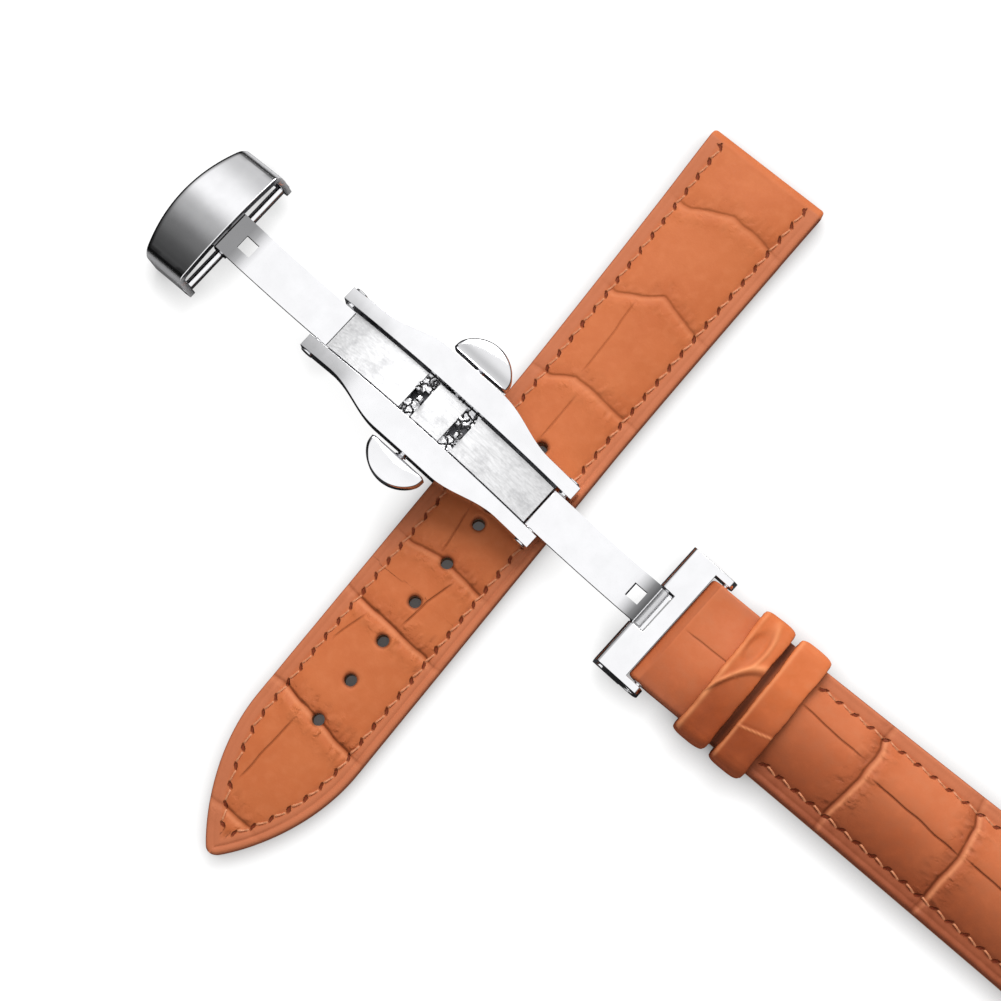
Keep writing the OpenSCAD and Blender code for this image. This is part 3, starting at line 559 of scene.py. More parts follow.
def needle_holes(f, base, where):
    """Slanting oval holes along the seam, one between each two stitches: in axes u and v turned
    by 32 degrees the hole is where (u / 0.5)^2 + (v / 0.2)^2 is under about 1. Each hole is a
    shallow dip drawn by a bump, its inside painted dark as its shade."""
    run, side, _ = f.split(f.node("UVMap", uv_map="seam"))
    along = (f.math("FRACT", run) - 0.5) * stitch_pitch
    first = f.math("LESS_THAN", run, 1.0) * 0.3 + 1.0
    lean = radians(32)
    u = (along * cos(lean) + side * sin(lean)) / first / 0.5
    wobble = (f.noise(where, 1.6, 2) - 0.5) * 0.45
    v = (side * cos(lean) - along * sin(lean) + wobble) / 0.2
    pierced = 1 - f.ramp(u * u + v * v, 0.4, 1.5)
    f.bump(pierced, -0.3, 0.9)
    # painted shade inside each needle hole
    return f.mix(pierced * 0.9, base, srgb(116, 38, 8))


def embossed_leather(name, shades, shaded_half=0.0, lip_highlight=None):
    """Aniline-dyed calf: the dye is cloudy, and painted edges are darker. Painted shade darkens the
    grooves and beside them, and the flat margin is painted paler and pinker as a painted sheen. One
    half of the strap may be painted darker than the other, as painted shade on the side turned from
    the light. A lip, the strength of a painted highlight on the grooves' raised edges, brings the
    sharp part of the pattern and the needle holes; a keeper's own painted highlights and shadows
    are in its mesh."""
    f = Finish(name, 0.5, Specular_IOR_Level=0.24)
    dull, warm, pale, margin, shade_tone, paint = [srgb(*shade) for shade in shades]
    where, edge = f.place(), f.attribute("edge")
    cloud, patch, grain = f.noise(where, 0.16, 4), f.noise(where, 0.7, 3), f.noise(where, 3.2, 5, 0.6)
    base = f.mix(f.ramp(cloud, 0.35, 0.65), dull, warm)
    base = f.mix(f.ramp(patch, 0.45, 0.75) * 0.35, base, pale)
    # painted sheen: the flat margin paler and pinker
    base = f.mix((1 - f.ramp(edge, 1.5, 2.6)) * 0.75, base, margin)
    if shaded_half:
        # painted shade: darker toward -y across the strap, the side turned from the light, with patchy
        # bounds
        turned_away_shade = f.ramp(f.attribute("across"), 3.5, -5.0) + (patch - 0.5) * 0.5
        base = f.mix(f.math("MAXIMUM", turned_away_shade, 0.0) * shaded_half, base, shade_tone)
    base = f.mix((1 - f.ramp(edge, 0.0, 0.2)) * 0.85, base, paint)
    # painted shade where the mesh marks it dark: round the punched holes, in the gap between the keepers,
    # toward the long strap's tip, and the keepers' painted shadows and darker edges
    base = f.mix(f.math("MINIMUM", f.attribute("dark"), 0.9), base, srgb(88, 38, 12))
    if lip_highlight:
        base = pressed_pattern(f, base, shade_tone, lip_highlight, where, cloud, patch)
        base = needle_holes(f, base, where)
    else:
        # painted highlight where a keeper's mesh marks it light
        base = f.mix(f.math("MINIMUM", f.attribute("light"), 1.0), base, srgb(248, 160, 106))
    f.set(Base_Color=base, Roughness=f.ramp(grain + patch * 0.5, -1.1, 2.0))
    f.bump(grain, 0.03, 0.5)
    return f.material


def on_holes(first, last, cell):
    """Places along the long strap from first to last, a cell apart, every hole's middle on one."""
    ahead, behind = int((hole_xs[0] - first) / cell), int((last - hole_xs[0]) / cell)
    return hole_xs[0] + cell * np.arange(-ahead, behind + 1)


long_strap = SimpleNamespace(
    name="long_strap", half=long_half, place=long_place, seam=long_seam, holes=hole_xs, pad_end=95.6
)
cell = hole_pitch / 24
top_x = on_holes(3.0, 110, cell)
top_x = np.concatenate([top_x[top_x < 108], long_end - 4.2 * np.linspace(1, 0, 26) ** 1.5])
top_rows = straight(top_x, margin_z, lining_t, 1, 1)
top_rows[top_x < 9.02, 5] = lining_t + 0.02
long_rows = [
    straight(np.linspace(9.0, 1.5, 14), 0, lining_t - 0.02, -1),
    fold_round(nose_r, nose_r, nose_r, -90, -270, 25)[1:],
    past_tunnel(nose_r, nose_r, nose_r, 1.6, 2.9, 84, -84, 12),
    top_rows,
]
# The six colours: two dye tones, a paler tone for patches, the margin's painted sheen, the colour of the
# painted shade, and the edge paint.
calf_shades = [(206, 111, 62), (212, 118, 68), (224, 134, 86)]
calf_shades += [(204, 121, 84), (139, 58, 20), (150, 74, 44)]
calf = embossed_leather("calf", calf_shades, lip_highlight=0.4)
leather_layer(
    long_strap, "leather", np.concatenate(long_rows), 24, long_half, long_top,
    "long_top_leather", "embossed_leather", calf, long_margin,
)


# Long strap, padding. A strip of leather board and soft felt, skived thin at its ends, lies
# between the top leather and the lining; the holes are punched through it too.


def long_pad_top(x, y):
    """The padding's top, 0.95 mm under the crown that it gives the leather."""
    _, lines = long_top(x, y)
    edge = lines["edge"]
    crown = 0.78 * np.sin(np.clip((edge - 2) / 5.9, 0, 1) * pi / 2) ** 0.8
    top = np.clip(crown - 0.95, -0.99, 0) * step(x, 3, 6) - 0.35
    top = top + 0.03 * unevenness(x, y, 0.6, 71)
    return np.maximum(top, lining_t + 0.08 - margin_z), {"edge": edge}


def pad_half(x):
    """Half width of the padding, the same all along."""
    return 0 * np.asarray(x) + 4.8


def felt(name):
    """Grey-brown felt: matt fibres lying every way."""
    f = Finish(name, 0.95, Specular_IOR_Level=0.1)
    fibres = f.noise(f.place(), 5.0, 6, 0.7)
    f.set(Base_Color=f.mix(f.ramp(fibres, 0.3, 0.7), srgb(150, 132, 110), srgb(196, 178, 150)))
    f.bump(fibres, 0.06)
    return f.material


pad_felt = felt("felt")
pad_rows = straight(on_holes(4.6, hole_xs[0] + 4.0, 2 * cell), margin_z, lining_t + 0.03, 1, 1)
long_pad = leather_layer(
    long_strap, "padding", pad_rows, 12, pad_half, long_pad_top, "long_filler", "padding", pad_felt
)


# Long strap, lining. Thin smooth leather glued under the padding, from the fold of the top
# leather to the tip, cut flush with it and punched with it.


def lining_leather(name):
    """Vegetable-tanned lining: tan, nearly matt, with fine pores."""
    f = Finish(name, 0.6, Specular_IOR_Level=0.35)
    where = f.place()
    pores = f.node("TexVoronoi", {"Vector": where, "Scale": 3.4})
    base = f.mix(f.ramp(f.noise(where, 0.25, 4), 0.35, 0.65), srgb(190, 128, 86), srgb(206, 146, 102))
    f.set(Base_Color=f.mix(0.5 - f.ramp(pores, 0, 0.35), base, srgb(150, 92, 56)))
    f.bump(pores, 0.03, 0.7)
    f.bump(f.noise(where, 4.5, 4), 0.03, 0.6)
    return f.material


def lining(strap, x, top, low, node):
    """A level layer from top to low, with its lower edges turned up by 0.12 * bell."""
    rows = straight(x, top, low, 1, 1)
    x1, y1, x2, y2, faces = layer(rows, across_strap(12), strap.half, strap.holes, 12)
    rim = low + 0.12 * bell(strap.half(x2) - np.abs(y2), 0, 0.2)
    skins = [np.stack([x1, y1, 0 * x1 + top], 2), np.stack([x2, y2, rim], 2)]
    points = strap.place(np.concatenate(skins).reshape(-1, 3))
    name = strap.name + "_lining"
    new_piece(name, points, faces, strap.name, node, "lining_leather", lining_calf)


lining_calf = lining_leather("lining_calf")
lining_x = on_holes(9.1, hole_xs[0] + 18, 2 * cell)
lining_tip = long_end - 4.0 * np.linspace(1, 0, 16) ** 1.5
lining_x = np.concatenate([[9.02], lining_x[lining_x < 108], lining_tip])
lining(long_strap, lining_x, lining_t - 0.01, 0, "long_lining")


# Stitching. Two-ply waxed thread, saddle-stitched: each stitch rises from one needle hole, lies
# pressed into the leather at a slight slant and sinks into the next one.

thread_r, thread_lift, hole_gap = 0.165, 0.06, 0.36


def stitches(strap, side, height):
    """Every stitch of one seam. A stitch is a tube round an arc: at u from 0 to 1 its middle is
    the place on the seam at that distance, turned a little off the seam's line, its height
    falls as (2 u - 1)^4 into the holes, and its radius swings as cos(2 v + 7 u) with the ply."""
    run = distance_along(strap.seam)
    u = np.linspace(0, 1, 9)[:, None]
    v = np.linspace(0, 2 * pi, 7)[None, :-1]
    r = thread_r * (1 + 0.16 * np.cos(2 * v + 7 * u))
    parts = []
    for k in range(int(run[-1] / stitch_pitch)):
        s0, s1 = (k + 0.5) * stitch_pitch + hole_gap, (k + 1.5) * stitch_pitch - hole_gap
        if s1 > run[-1]:
            break
        s = s0 + (s1 - s0) * u
        cx, cy = np.interp(s, run, strap.seam[:, 0]), side * np.interp(s, run, strap.seam[:, 1])
        tx, ty = np.gradient(cx, axis=0), np.gradient(cy, axis=0)
        n = np.hypot(tx, ty)
        tx, ty = tx / n, ty / n
        slant = -0.42 * (u - 0.5)
        cx, cy = cx - ty * slant, cy + tx * slant
        cz = height(cx, cy) + thread_lift - 0.34 * np.abs(2 * u - 1) ** 4
        around = np.cos(v) * r
        points = np.stack([cx - ty * around, cy + tx * around, cz + 0.75 * np.sin(v) * r], 2)
        parts.append((strap.place(points.reshape(-1, 3)), tube(9, 6)))
    return joined(*parts)


def sewn_line(strap, height, node):
    """The stitches of both edges as one piece."""
    points, faces = joined(stitches(strap, 1, height), stitches(strap, -1, height))
    new_piece(strap.name + "_stitching", points, faces, strap.name, node, "thread", thread, 60)


def long_height(x, y):
    """Height of the long strap's upper face."""
    return long_margin(x) + long_top(x, y)[0]


def waxed_thread(name):
    """Pale peach polyester thread with a waxy shine, a shade darker in places."""
    f = Finish(name, 0.5, Specular_IOR_Level=0.4)
    fibres = f.noise(f.place(), 9.0, 3)
    f.set(Base_Color=f.mix(f.ramp(fibres, 0.3, 0.7), srgb(200, 124, 82), srgb(226, 152, 110)))
    f.bump(fibres, 0.03)
    return f.material


thread = waxed_thread("waxed_thread")
sewn_line(long_strap, long_height, "long_stitching")


# Short strap, top leather. The same embossed calf over thicker padding, folded round the clasp's
# spring bar at one end and round the watch's at the other. It lies a little askew: it bends
# sideways right behind the clasp's spring bar.

short_run, short_r, short_margin, short_crown = 71.6, 1.7, 1.0, 1.3
bar_x, bar_z, short_tilt, short_bend, bend_x = 22.6526, 3.59862, radians(1.52116), radians(2.7), 1.2


def short_half(x):
    """Half width x mm from the spring bar: 8, plus 1 * t^1.3 as t goes 0 to 1 over the flare."""
    t = np.clip((np.asarray(x, float) - (short_run + short_r - 60)) / 60, 0, 1)
    return strap_half + (lug_half - strap_half) * t**flare_power


def short_place(p):
    """Strap coordinates to the frame: bent sideways behind x = 1.2, tilted down, moved out."""
    x, y, z = p.T
    past = x > bend_x
    c, s = cos(short_bend), sin(short_bend)
    bx = np.where(past, bend_x + (x - bend_x) * c - y * s, x)
    by = np.where(past, (x - bend_x) * s + y * c, y)
    c, s = cos(short_tilt), sin(short_tilt)
    return np.stack([bar_x + bx * c + z * s, by, bar_z - bx * s + z * c], 1)


def short_level(x):
    """Height of the margin: full at both folded ends, and lower between them."""
    near, far = 1 - step(x, 2.5, 16), step(x, short_run - 16, short_run - 5)
    return short_margin + (short_r - short_margin) * np.maximum(near, far)


short_grooves = [
    ([(27.2, -7.7), (27.3, -5.7), (27.9, 0.1), (27.9, 4.7), (27.2, 6.0), (27.2, 7.4)], 1.0),
    ([(42.7, -8.1), (42.9, -6.5), (43.1, 0.3), (42.6, 4.7), (41.9, 6.0), (41.5, 7.7)], 1.1),
    ([(57.6, -8.0), (57.9, -3.5), (57.2, 0.6), (57.5, 5.5), (57.0, 7.6)], 1.0),
]
short_creases = [
    ([(0.3, 0.7), (6.5, 0.7)], 0.6),
    ([(16.9, 2.7), (26.5, 2.3)], 0.9),
    ([(29.4, 1.0), (36, 0.8), (42.5, 0.4)], 1.1),
    ([(44.3, 0.7), (49.6, 0.5), (56.5, 0.7)], 1.1),
    ([(59.0, -1.2), (67.0, -1.0)], 0.8),
]
seam_x = np.linspace(16.6, short_run - 0.8, 80)
short_seam = np.stack([seam_x, short_half(seam_x) - seam_in], 1)


def short_top(x, y):
    """Height over the margin: a round crown between the seams, the pressed seam line, a crease
    along one edge and the crocodile pattern. Under the keepers the crown runs to the edges."""
    edge = short_half(x) - np.abs(y)
    inward = np.clip((edge - seam_in + 0.1) / (strap_half - seam_in), 0, 1)
    run = between(x, 0.2, 7, short_run - 9, short_run - 3)
    rise = np.sqrt(np.clip(1 - (1 - inward) ** 2, 0, 1))
    sewn = step(x, 12, 19)
    whole = np.sin(np.clip(edge / 8, 0, 1) * pi / 2) ** 1.3
    padded = 0.45 * rise + 0.55 * np.sin(inward * pi / 2)
    height = short_crown * (padded * sewn + whole * (1 - sewn)) * run
    height -= 0.1 * bell(edge, seam_in, 0.32) * sewn
    bead = np.where(y < 0, 0.9, 0.15) * sewn
    height += bead * (0.06 * bell(edge, 0.42, 0.25) - 0.09 * bell(edge, 0.9, 0.2))
    scales, lines = scale_grooves(x, y, edge, short_grooves, short_creases, 31)
    fade = between(x, 0.5, 3, short_run - 2, short_run - 0.5)
    lines["edge"] = edge + 1.2 * (1 - sewn)
    # painted shade in the gap between the two keepers
    lines["dark"] = 0.95 * bell(x, 11.4, 0.6)
    # shifts the place across so that the painted side shade starts only past the keepers
    lines["across"] = y + 5 * (1 - step(x, 9, 14))
    return height + scales * fade - edge_roll(edge, edge_r), lines


short_strap = SimpleNamespace(
    name="short_strap", half=short_half, place=short_place, seam=short_seam, holes=(),
    pad_end=short_run - 4.4,
)
under_z, inner_z = -short_r, -short_r + lining_t
short_rows = [
    straight(np.linspace(7.0, 0, 12), under_z, inner_z - 0.02, -1),
    fold_round(0, 0, short_r, -90, -270, 25)[1:],
    past_tunnel(0, 0, short_r, 0.1, 1.8, 84, -84, 14),
    straight(np.arange(2.0, short_run - 1.8, 0.28), short_r, inner_z, 1, 1),
    past_tunnel(short_run, 0, short_r, short_run - 1.7, short_run - 0.1, 264, 96, 14),
    fold_round(short_run, 0, short_r, 90, -90, 25),
    straight(np.linspace(short_run - 0.5, short_run - 9, 14), under_z, inner_z - 0.02, -1),
]
short_shades = [(209, 112, 66), (215, 120, 74), (228, 140, 96)]
short_shades += [(211, 124, 86), (112, 39, 2), (140, 68, 40)]
# 0.64 of painted shade on its lower side, 0.65 of painted highlight on the grooves' lips
russet = embossed_leather("calf_short", short_shades, 0.64, 0.65)
leather_layer(
    short_strap, "leather", np.concatenate(short_rows), 24, short_half, short_top,
    "short_top_leather", "embossed_leather", russet, short_level,
)


# Short strap, padding, lining and stitching: felt under the crown, a smooth lining between the
# two folds, and the same thread from the keepers to the watch end.


def short_pad_top(x, y):
    """The padding's top, 0.95 mm and a little more under the crown that it gives the leather."""
    edge = strap_half - np.abs(y)
    inward = np.clip((edge - 2) / 5.9, 0, 1)
    top = short_margin - 0.95 + short_crown * np.sin(inward * pi / 2) - 0.15
    top = top + 0.03 * unevenness(x, y, 0.6, 73)
    return np.maximum(top, inner_z + 0.1), {"edge": edge}


def short_height(x, y):
    """Height of the short strap's upper face over its middle plane."""
    return short_level(x) + short_top(x, y)[0]


pad_rows = straight(np.arange(4.6, short_run - 4.5, 0.6), 0, inner_z + 0.03, 1, 1)
short_pad = leather_layer(
    short_strap, "padding", pad_rows, 12, pad_half, short_pad_top, "short_filler", "padding", pad_felt
)
lining(short_strap, np.linspace(7.02, short_run - 9.02, 60), inner_z - 0.01, under_z, "short_lining")
sewn_line(short_strap, short_height, "short_stitching")


# Keepers. Two loops of the same leather, skived, folded and glued round the short strap: the
# first is fixed by the clasp, its ends lapped in a slanting fold; the second slides and has a
# pressed line across it.

keeper_len, keeper_t = 4.7, 1.1
loop_half, loop_low, loop_high, loop_arch = 8.75, -2.35, 3.05, 34.0


def keeper_loop(count):
    """The loop's middle line and outward normal: a box with its upper corners rounded by 1.1 mm,
    the lower by 0.8, and its top arched by a circle of radius 34."""
    r, low_r, sag = 1.1, 0.8, loop_arch - np.sqrt(loop_arch**2 - loop_half**2)
    y = np.linspace(-loop_half + r, loop_half - r, 60)[30:]
    arch = np.stack([y, loop_high - loop_arch + np.sqrt(loop_arch**2 - y**2)], 1)
    a = np.radians(np.linspace(80, 0, 10))
    corner_z = loop_high - sag - r + 0.18
    top_right = np.stack([loop_half - r + r * np.cos(a), corner_z + r * np.sin(a)], 1)
    a = np.radians(np.linspace(0, -90, 10))
    low_right = np.stack([loop_half + low_r * (np.cos(a) - 1), loop_low + low_r * (1 + np.sin(a))], 1)
    half_loop = np.concatenate([arch, top_right, low_right])
    line = np.concatenate([half_loop, [[0, loop_low]], half_loop[::-1] * [-1, 1]])
    run = distance_along(line)
    s = np.linspace(0, run[-1], count + 1)[:-1]
    y, z = np.interp(s, run, line[:, 0]), np.interp(s, run, line[:, 1])
    ty, tz = np.roll(y, -1) - np.roll(y, 1), np.roll(z, -1) - np.roll(z, 1)
    n = np.hypot(ty, tz)
    return y[:, None], z[:, None], (-tz / n)[:, None], (ty / n)[:, None]


def keeper(name, x0, relief, body, node):
    """A band carried round the loop. Its section is a rounded bar: at a share a of half its
    length from the middle it is (1 - |a|^5.7)^0.3 of half its thickness deep on either side;
    relief(x, y) lifts the outer face and gives its painted shadow and painted highlight. Both ends
    of the band wave in and out a little, and its edges are darker: edge paint, with a painted shadow
    along the far side."""
    count = 220
    y, z, ny, nz = keeper_loop(count)
    face = np.sin(np.linspace(pi / 2, -pi / 2, 47)) * 0.35 + np.linspace(1, -1, 47) * 0.65
    a = np.concatenate([face, face[::-1][3:-3:3]])
    b = (1 - np.abs(a) ** 5.7) ** 0.3 * np.where(np.arange(len(a)) < len(face), 1.0, -1.0)
    wave = 1 + 0.055 * unevenness(y, z, 2.1, 58) + 0.02 * unevenness(y, z, 0.5, 43)
    px = x0 + keeper_len / 2 + keeper_len / 2 * a * wave
    outer = np.clip(b, 0, 1)
    top = step(nz, 0.2, 0.7)
    form, shadow, light = relief(px - x0, y + 0 * px)
    bulge = 0.16 * bell(np.abs(y), loop_half, 1.0) * (1 - np.abs(a) ** 3)
    lift = form * top + bulge + 0.03 * unevenness(px, y + z, 1.3, 17)
    offset = 0.5 * keeper_t * b + outer * lift
    py, pz = y + ny * offset, z + nz * offset
    # darker edges of the band: a little edge paint on the near side, and a painted shadow along the far side
    side = np.where(a < 0, 0.15, 0.95) * (1 - step(outer, 0.0, 0.75)) * step(nz, 0.3, 0.8)
    edge = keeper_len / 2 * (1 - np.abs(a)) + 0.4 * outer + 2.0 * (outer > 0.5)
    attributes = {"dark": shadow * outer * top + side, "edge": edge + 0 * px, "across": py}
    # painted highlight from the relief, on the band's top
    attributes["light"] = light * step(outer, 0.1, 0.6) * top
    points, faces = short_place(np.stack([px, py, pz], 2).reshape(-1, 3)), tube(count, len(a), ring=True)
    new_piece(name, points, faces, body, node, "keeper_leather", keeper_calf, 60, attributes)


def lapped(x, y):
    """Relief of the fixed keeper, with its painted shadows and painted highlights. The end of the flap is a
    fold that rises across the band as y = -1.95 + 1.6 (x - 0.91) - 0.25 (x - 0.91) (x - 2.81),
    with a round ridge over it; a long hollow lies above, and the rim beside it is turned up."""
    s = (y + 1.95 - 1.6 * (x - 0.91) + 0.25 * (x - 0.91) * (x - 2.81)) / 1.5
    below = between(s, -6.0, -0.5, -0.35, 0.1)
    share = np.hypot((x - 1.75) / 1.25, (y - 4.3 - 0.25 * (x - 1.75)) / 3.0)
    hollow = 1 - step(share, 0.5, 1.02)
    beside = bell(share, 1.25, 0.2) * step(x, 1.4, 2.8) * step(s, 0.2, 0.8)
    height = 0.26 * bell(s, 0.38, 0.36) - 0.16 * below * step(s, -4.0, -0.5)
    height += 0.16 * beside - 0.28 * hollow + 0.16 * bell(x, 0.4, 0.35)
    height += 0.05 * unevenness(x, y, 1.6, 61)
    # painted shadow below the fold, along its foot and in the hollow
    shadow = 0.2 * below + 0.3 * bell(s, -0.12, 0.17) + 0.1 * hollow
    shadow += 0.22 * bell(share, 0.93, 0.13) * step(x, 1.9, 2.8)
    shadow += 0.14 * hollow * (1 - step(y, 1.5, 4.5))
    # painted highlight on the ridge, beside the hollow and along the left rim
    light = 0.7 * bell(s, 0.45, 0.3) * step(x, 0.4, 1.0) + 0.55 * beside
    rim_highlight = (1 - 0.5 * step(y, 1, 4)) * (0.8 + 0.4 * unevenness(x, y, 1.3, 65))
    light += 0.75 * bell(x, 0.38, 0.34) * rim_highlight
    return height, shadow, light


def creased(x, y):
    """Relief of the loose keeper: one pressed line across it, with a fine ridge along it. Painted shade lies
    on one side of the line and in its groove, painted highlights on the ridge and along the band's near
    edge.
    """
    s = y + 4.43 - 0.29 * x
    height = 0.1 * bell(s, 0, 0.13) - 0.08 * bell(s, 0.28, 0.14) + 0.05 * unevenness(x, y, 1.9, 63)
    light = 0.75 * bell(s, 0, 0.12) * step(x, 0.3, 0.9) + 0.5 * bell(x, 0.3, 0.22)
    return height, 0.14 * (1 - step(s, -0.3, 0.0)) + 0.12 * bell(s, 0.28, 0.14), light


keeper_shades = [(217, 114, 60), (227, 124, 72), (238, 146, 96)]
keeper_shades += [(212, 112, 62), (126, 40, 0), (140, 62, 26)]
# 0.66 of painted shade on its lower side
keeper_calf = embossed_leather("keeper_calf", keeper_shades, 0.66)
keeper("fixed_keeper_loop", 6.2, lapped, "short_strap", "fixed_keeper")
keeper("loose_keeper_loop", 11.9, creased, "loose_keeper", "loose_keeper")


# Clasp frame. Two arched stainless rails are pinned and pressed on the base plate, with three
# thin plates between them. The rails are mirror-polished, the plates brushed along the arch.

frame_x, frame_drop = -18.0, 43.5167
hinge_out, hinge_z, arm_half = 18.0, 5.6947, 2.825
cut_pitch = 0.6


def body_of(node):
    """The body that a CAD node moves with."""
    return frame["nodes"][node]["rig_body"]


def steel(name, roughness, brushed=None, tone=(240, 240, 242)):
    """Stainless steel: a mirror polish with faint waves, or fine brush lines stretched along
    one axis of the frame. Parts marked dark are painted darker, a painted reflection of the dark
    room; those marked satin are blasted and pale, which on the cover's sides is also a painted
    reflection."""
    bright = srgb(*tone)
    low = [0.8 * c for c in bright[:3]] + [1]
    f = Finish(name, roughness, Metallic=1.0)
    where = f.place()
    if brushed:
        scratch = f.noise(f.place(brushed), 1.0, 4, 0.65)
        stain = f.ramp(f.noise(where, 0.45, 4, 0.7), 0.5, 0.7) * 0.6
        base = f.mix(stain, f.mix(f.ramp(scratch, 0.35, 0.65), low, bright), srgb(170, 170, 172))
        f.set(Base_Color=base, Roughness=f.ramp(scratch, roughness - 1.2, 2.2))
        f.bump(scratch, 0.006, 0.5)
    else:
        satin = f.attribute("satin")
        base = f.mix(f.ramp(f.noise(where, 0.35, 3), 0.35, 0.65) * 0.25, bright, low)
        # painted dark reflection where marked dark
        base = f.mix(f.attribute("dark"), base, srgb(24, 24, 26))
        spread = f.ramp(f.noise(where, 1.3, 5), 0.0, 1.0, roughness * 0.6, roughness * 1.6)
        f.set(Base_Color=f.mix(satin, base, srgb(206, 206, 208)), Metallic=1 - satin, Roughness=spread)
        f.bump(f.noise(where, 0.5, 1), 0.006, 0.3)
    return f.material


mirror_steel = steel("mirror_steel", 0.07)
brushed_steel = steel("brushed_steel", 0.32, (60, 4500, 4500), (222, 222, 223))
shaded_steel = steel("shaded_steel", 0.4, (180, 6000, 6000), (96, 96, 100))


def merged(b):
    """Joins corners closer than 0.002 mm, and drops the faces that this leaves without area."""
    bmesh.ops.remove_doubles(b, verts=b.verts, dist=2e-6)
    bmesh.ops.dissolve_degenerate(b, edges=b.edges, dist=2e-6)


def on_arch(b, mesh, low, high, radii, outline):
    """Cuts the faces of an arch about the frame's centre at each multiple of a pitch between low
    and high, and sets their corners on those cuts and on the exact radius, at height
    sqrt(r^2 - x^2). outline(x) then gives the place of the outer ones."""
    pitch = cut_pitch * 0.001
    for x in np.arange(np.ceil(low / pitch), np.floor(high / pitch) + 1) * pitch:
        flat = [f for f in b.faces if abs(f.normal.y) < 0.5]
        parts = {e for f in flat for e in f.edges} | {v for f in flat for v in f.verts}
        faces_and_parts = flat + list(parts)
        bmesh.ops.bisect_plane(b, geom=faces_and_parts, plane_co=(x, 0, 0), plane_no=(1, 0, 0), dist=1e-7)
    b.to_mesh(mesh)
    co = np.zeros(len(mesh.vertices) * 3)
    mesh.vertices.foreach_get("co", co)
    co = co.reshape(-1, 3)
    middle, drop = -frame_x * 0.001, frame_drop * 0.001
    r = np.hypot(co[:, 0] + middle, co[:, 2] + drop)
    for radius in radii:
        near = (np.abs(r - radius * 0.001) < 6e-5) & (co[:, 0] > low + 5e-4) & (co[:, 0] < high - 5e-4)
        x = np.round(co[near, 0] / pitch) * pitch
        co[near, 0] = x
        co[near, 2] = np.sqrt((radius * 0.001) ** 2 - (x + middle) ** 2) - drop
        if outline:
            side = np.sign(co[near, 1]) * (np.abs(co[near, 1]) > 0.0045)
            co[near, 1] = np.where(side, side * outline(x * 1000 - frame_x) * 0.001, co[near, 1])
    mesh.vertices.foreach_set("co", co.ravel())
    b.clear()
    b.from_mesh(mesh)
    merged(b)


def rounded(o, width, segments, angle):
    """Rounds every edge sharper than an angle to a width in mm."""
    m = o.modifiers.new("edges", "BEVEL")
    m.width, m.segments, m.limit_method, m.angle_limit = width * 0.001, segments, "ANGLE", radians(angle)
    o.modifiers.new("normals", "WEIGHTED_NORMAL").keep_sharp = False


def finished(node, width, material, segments=3, smooth=40, arch=(), outline=None, reshape=None):
    """A copy of a solid with its doubles merged, flat faces joined, and every sharp edge rounded
    to the given width, as tumbling and polishing leave it. reshape moves the points first, and
    arch gives the radii that on_arch sets."""
    mesh = frame["nodes"][node].data
    co = np.zeros(len(mesh.vertices) * 3)
    mesh.vertices.foreach_get("co", co)
    mesh.calc_loop_triangles()
    tri = np.zeros(len(mesh.loop_triangles) * 3, np.int32)
    mesh.loop_triangles.foreach_get("vertices", tri)
    points, back = np.unique(np.round(co.reshape(-1, 3), 7), axis=0, return_inverse=True)
    tri = back.ravel()[tri].reshape(-1, 3)
    tri = tri[(tri[:, 0] != tri[:, 1]) & (tri[:, 1] != tri[:, 2]) & (tri[:, 2] != tri[:, 0])]
    if reshape:
        points = reshape(points * 1000) * 0.001
    made = bpy.data.meshes.new(node + "_metal")
    made.from_pydata(points.tolist(), [], tri.tolist())
    b = bmesh.new()
    b.from_mesh(made)
    if reshape:
        merged(b)
    bmesh.ops.dissolve_limit(b, angle_limit=radians(0.4), verts=b.verts, edges=b.edges)
    if arch:
        on_arch(b, made, points[:, 0].min(), points[:, 0].max(), arch, outline)
    o = new_object(node + "_metal", made, b, body_of(node), node, material, smooth)
    if width:
        rounded(o, width, segments, 30)
    return o


def rail_outline(x):
    """Outer edge of a rail: 6.85 from the middle line for 4.6 mm either way, falling to 5.0
    along half a cosine wave 9.4 mm long."""
    t = np.clip((np.abs(x) - 4.6) / 9.4, 0, 1)
    return 5.0 + 1.85 * (1 + np.cos(pi * t)) / 2


for node in ("rail_a", "rail_b"):
    finished(node, 0.16, mirror_steel, arch=(53.5, 50.0), outline=rail_outline)
for node in ("left_plate", "middle_pad", "right_plate"):
    finished(node, 0.06, brushed_steel, 2, arch=(52.4, 51.9, 50.5))
finished("base_plate", 0.05, shaded_steel, 2)


def round_bars(x, z, *spans):
    """Cylinders along Y with slightly broken edges: one from y0 to y1 with radius r for each
    span."""
    a = np.linspace(0, 2 * pi, 33)[:-1]
    points, faces = [], []
    for k, (y0, y1, r) in enumerate(spans):
        c = min(0.07, (y1 - y0) / 3)
        for y, radius in ((y0, r - c), (y0 + c, r), (y1 - c, r), (y1, r - c)):
            points.append(np.stack([x + radius * np.cos(a), y + 0 * a, z + radius * np.sin(a)], 1))
        faces += tube(4, 32, 128 * k)
    return np.concatenate(points), faces


def polished(name, shape, node, smooth, marks=None):
    """A mirror-polished piece from a pair of points and faces."""
    points, faces = shape
    return new_piece(name, points, faces, body_of(node), node, "polished_steel", mirror_steel, smooth, marks)


def pin_ends(node, x, z, *spans):
    """What shows of a pin or rod that runs through a knuckle."""
    polished(node + "_ends", round_bars(x, z, *spans), node, 30)


def both_ends(*spans):
    """The spans given, and their mirror images on the other side of the middle."""
    return [*spans, *[(-y1, -y0, r) for y0, y1, r in spans]]


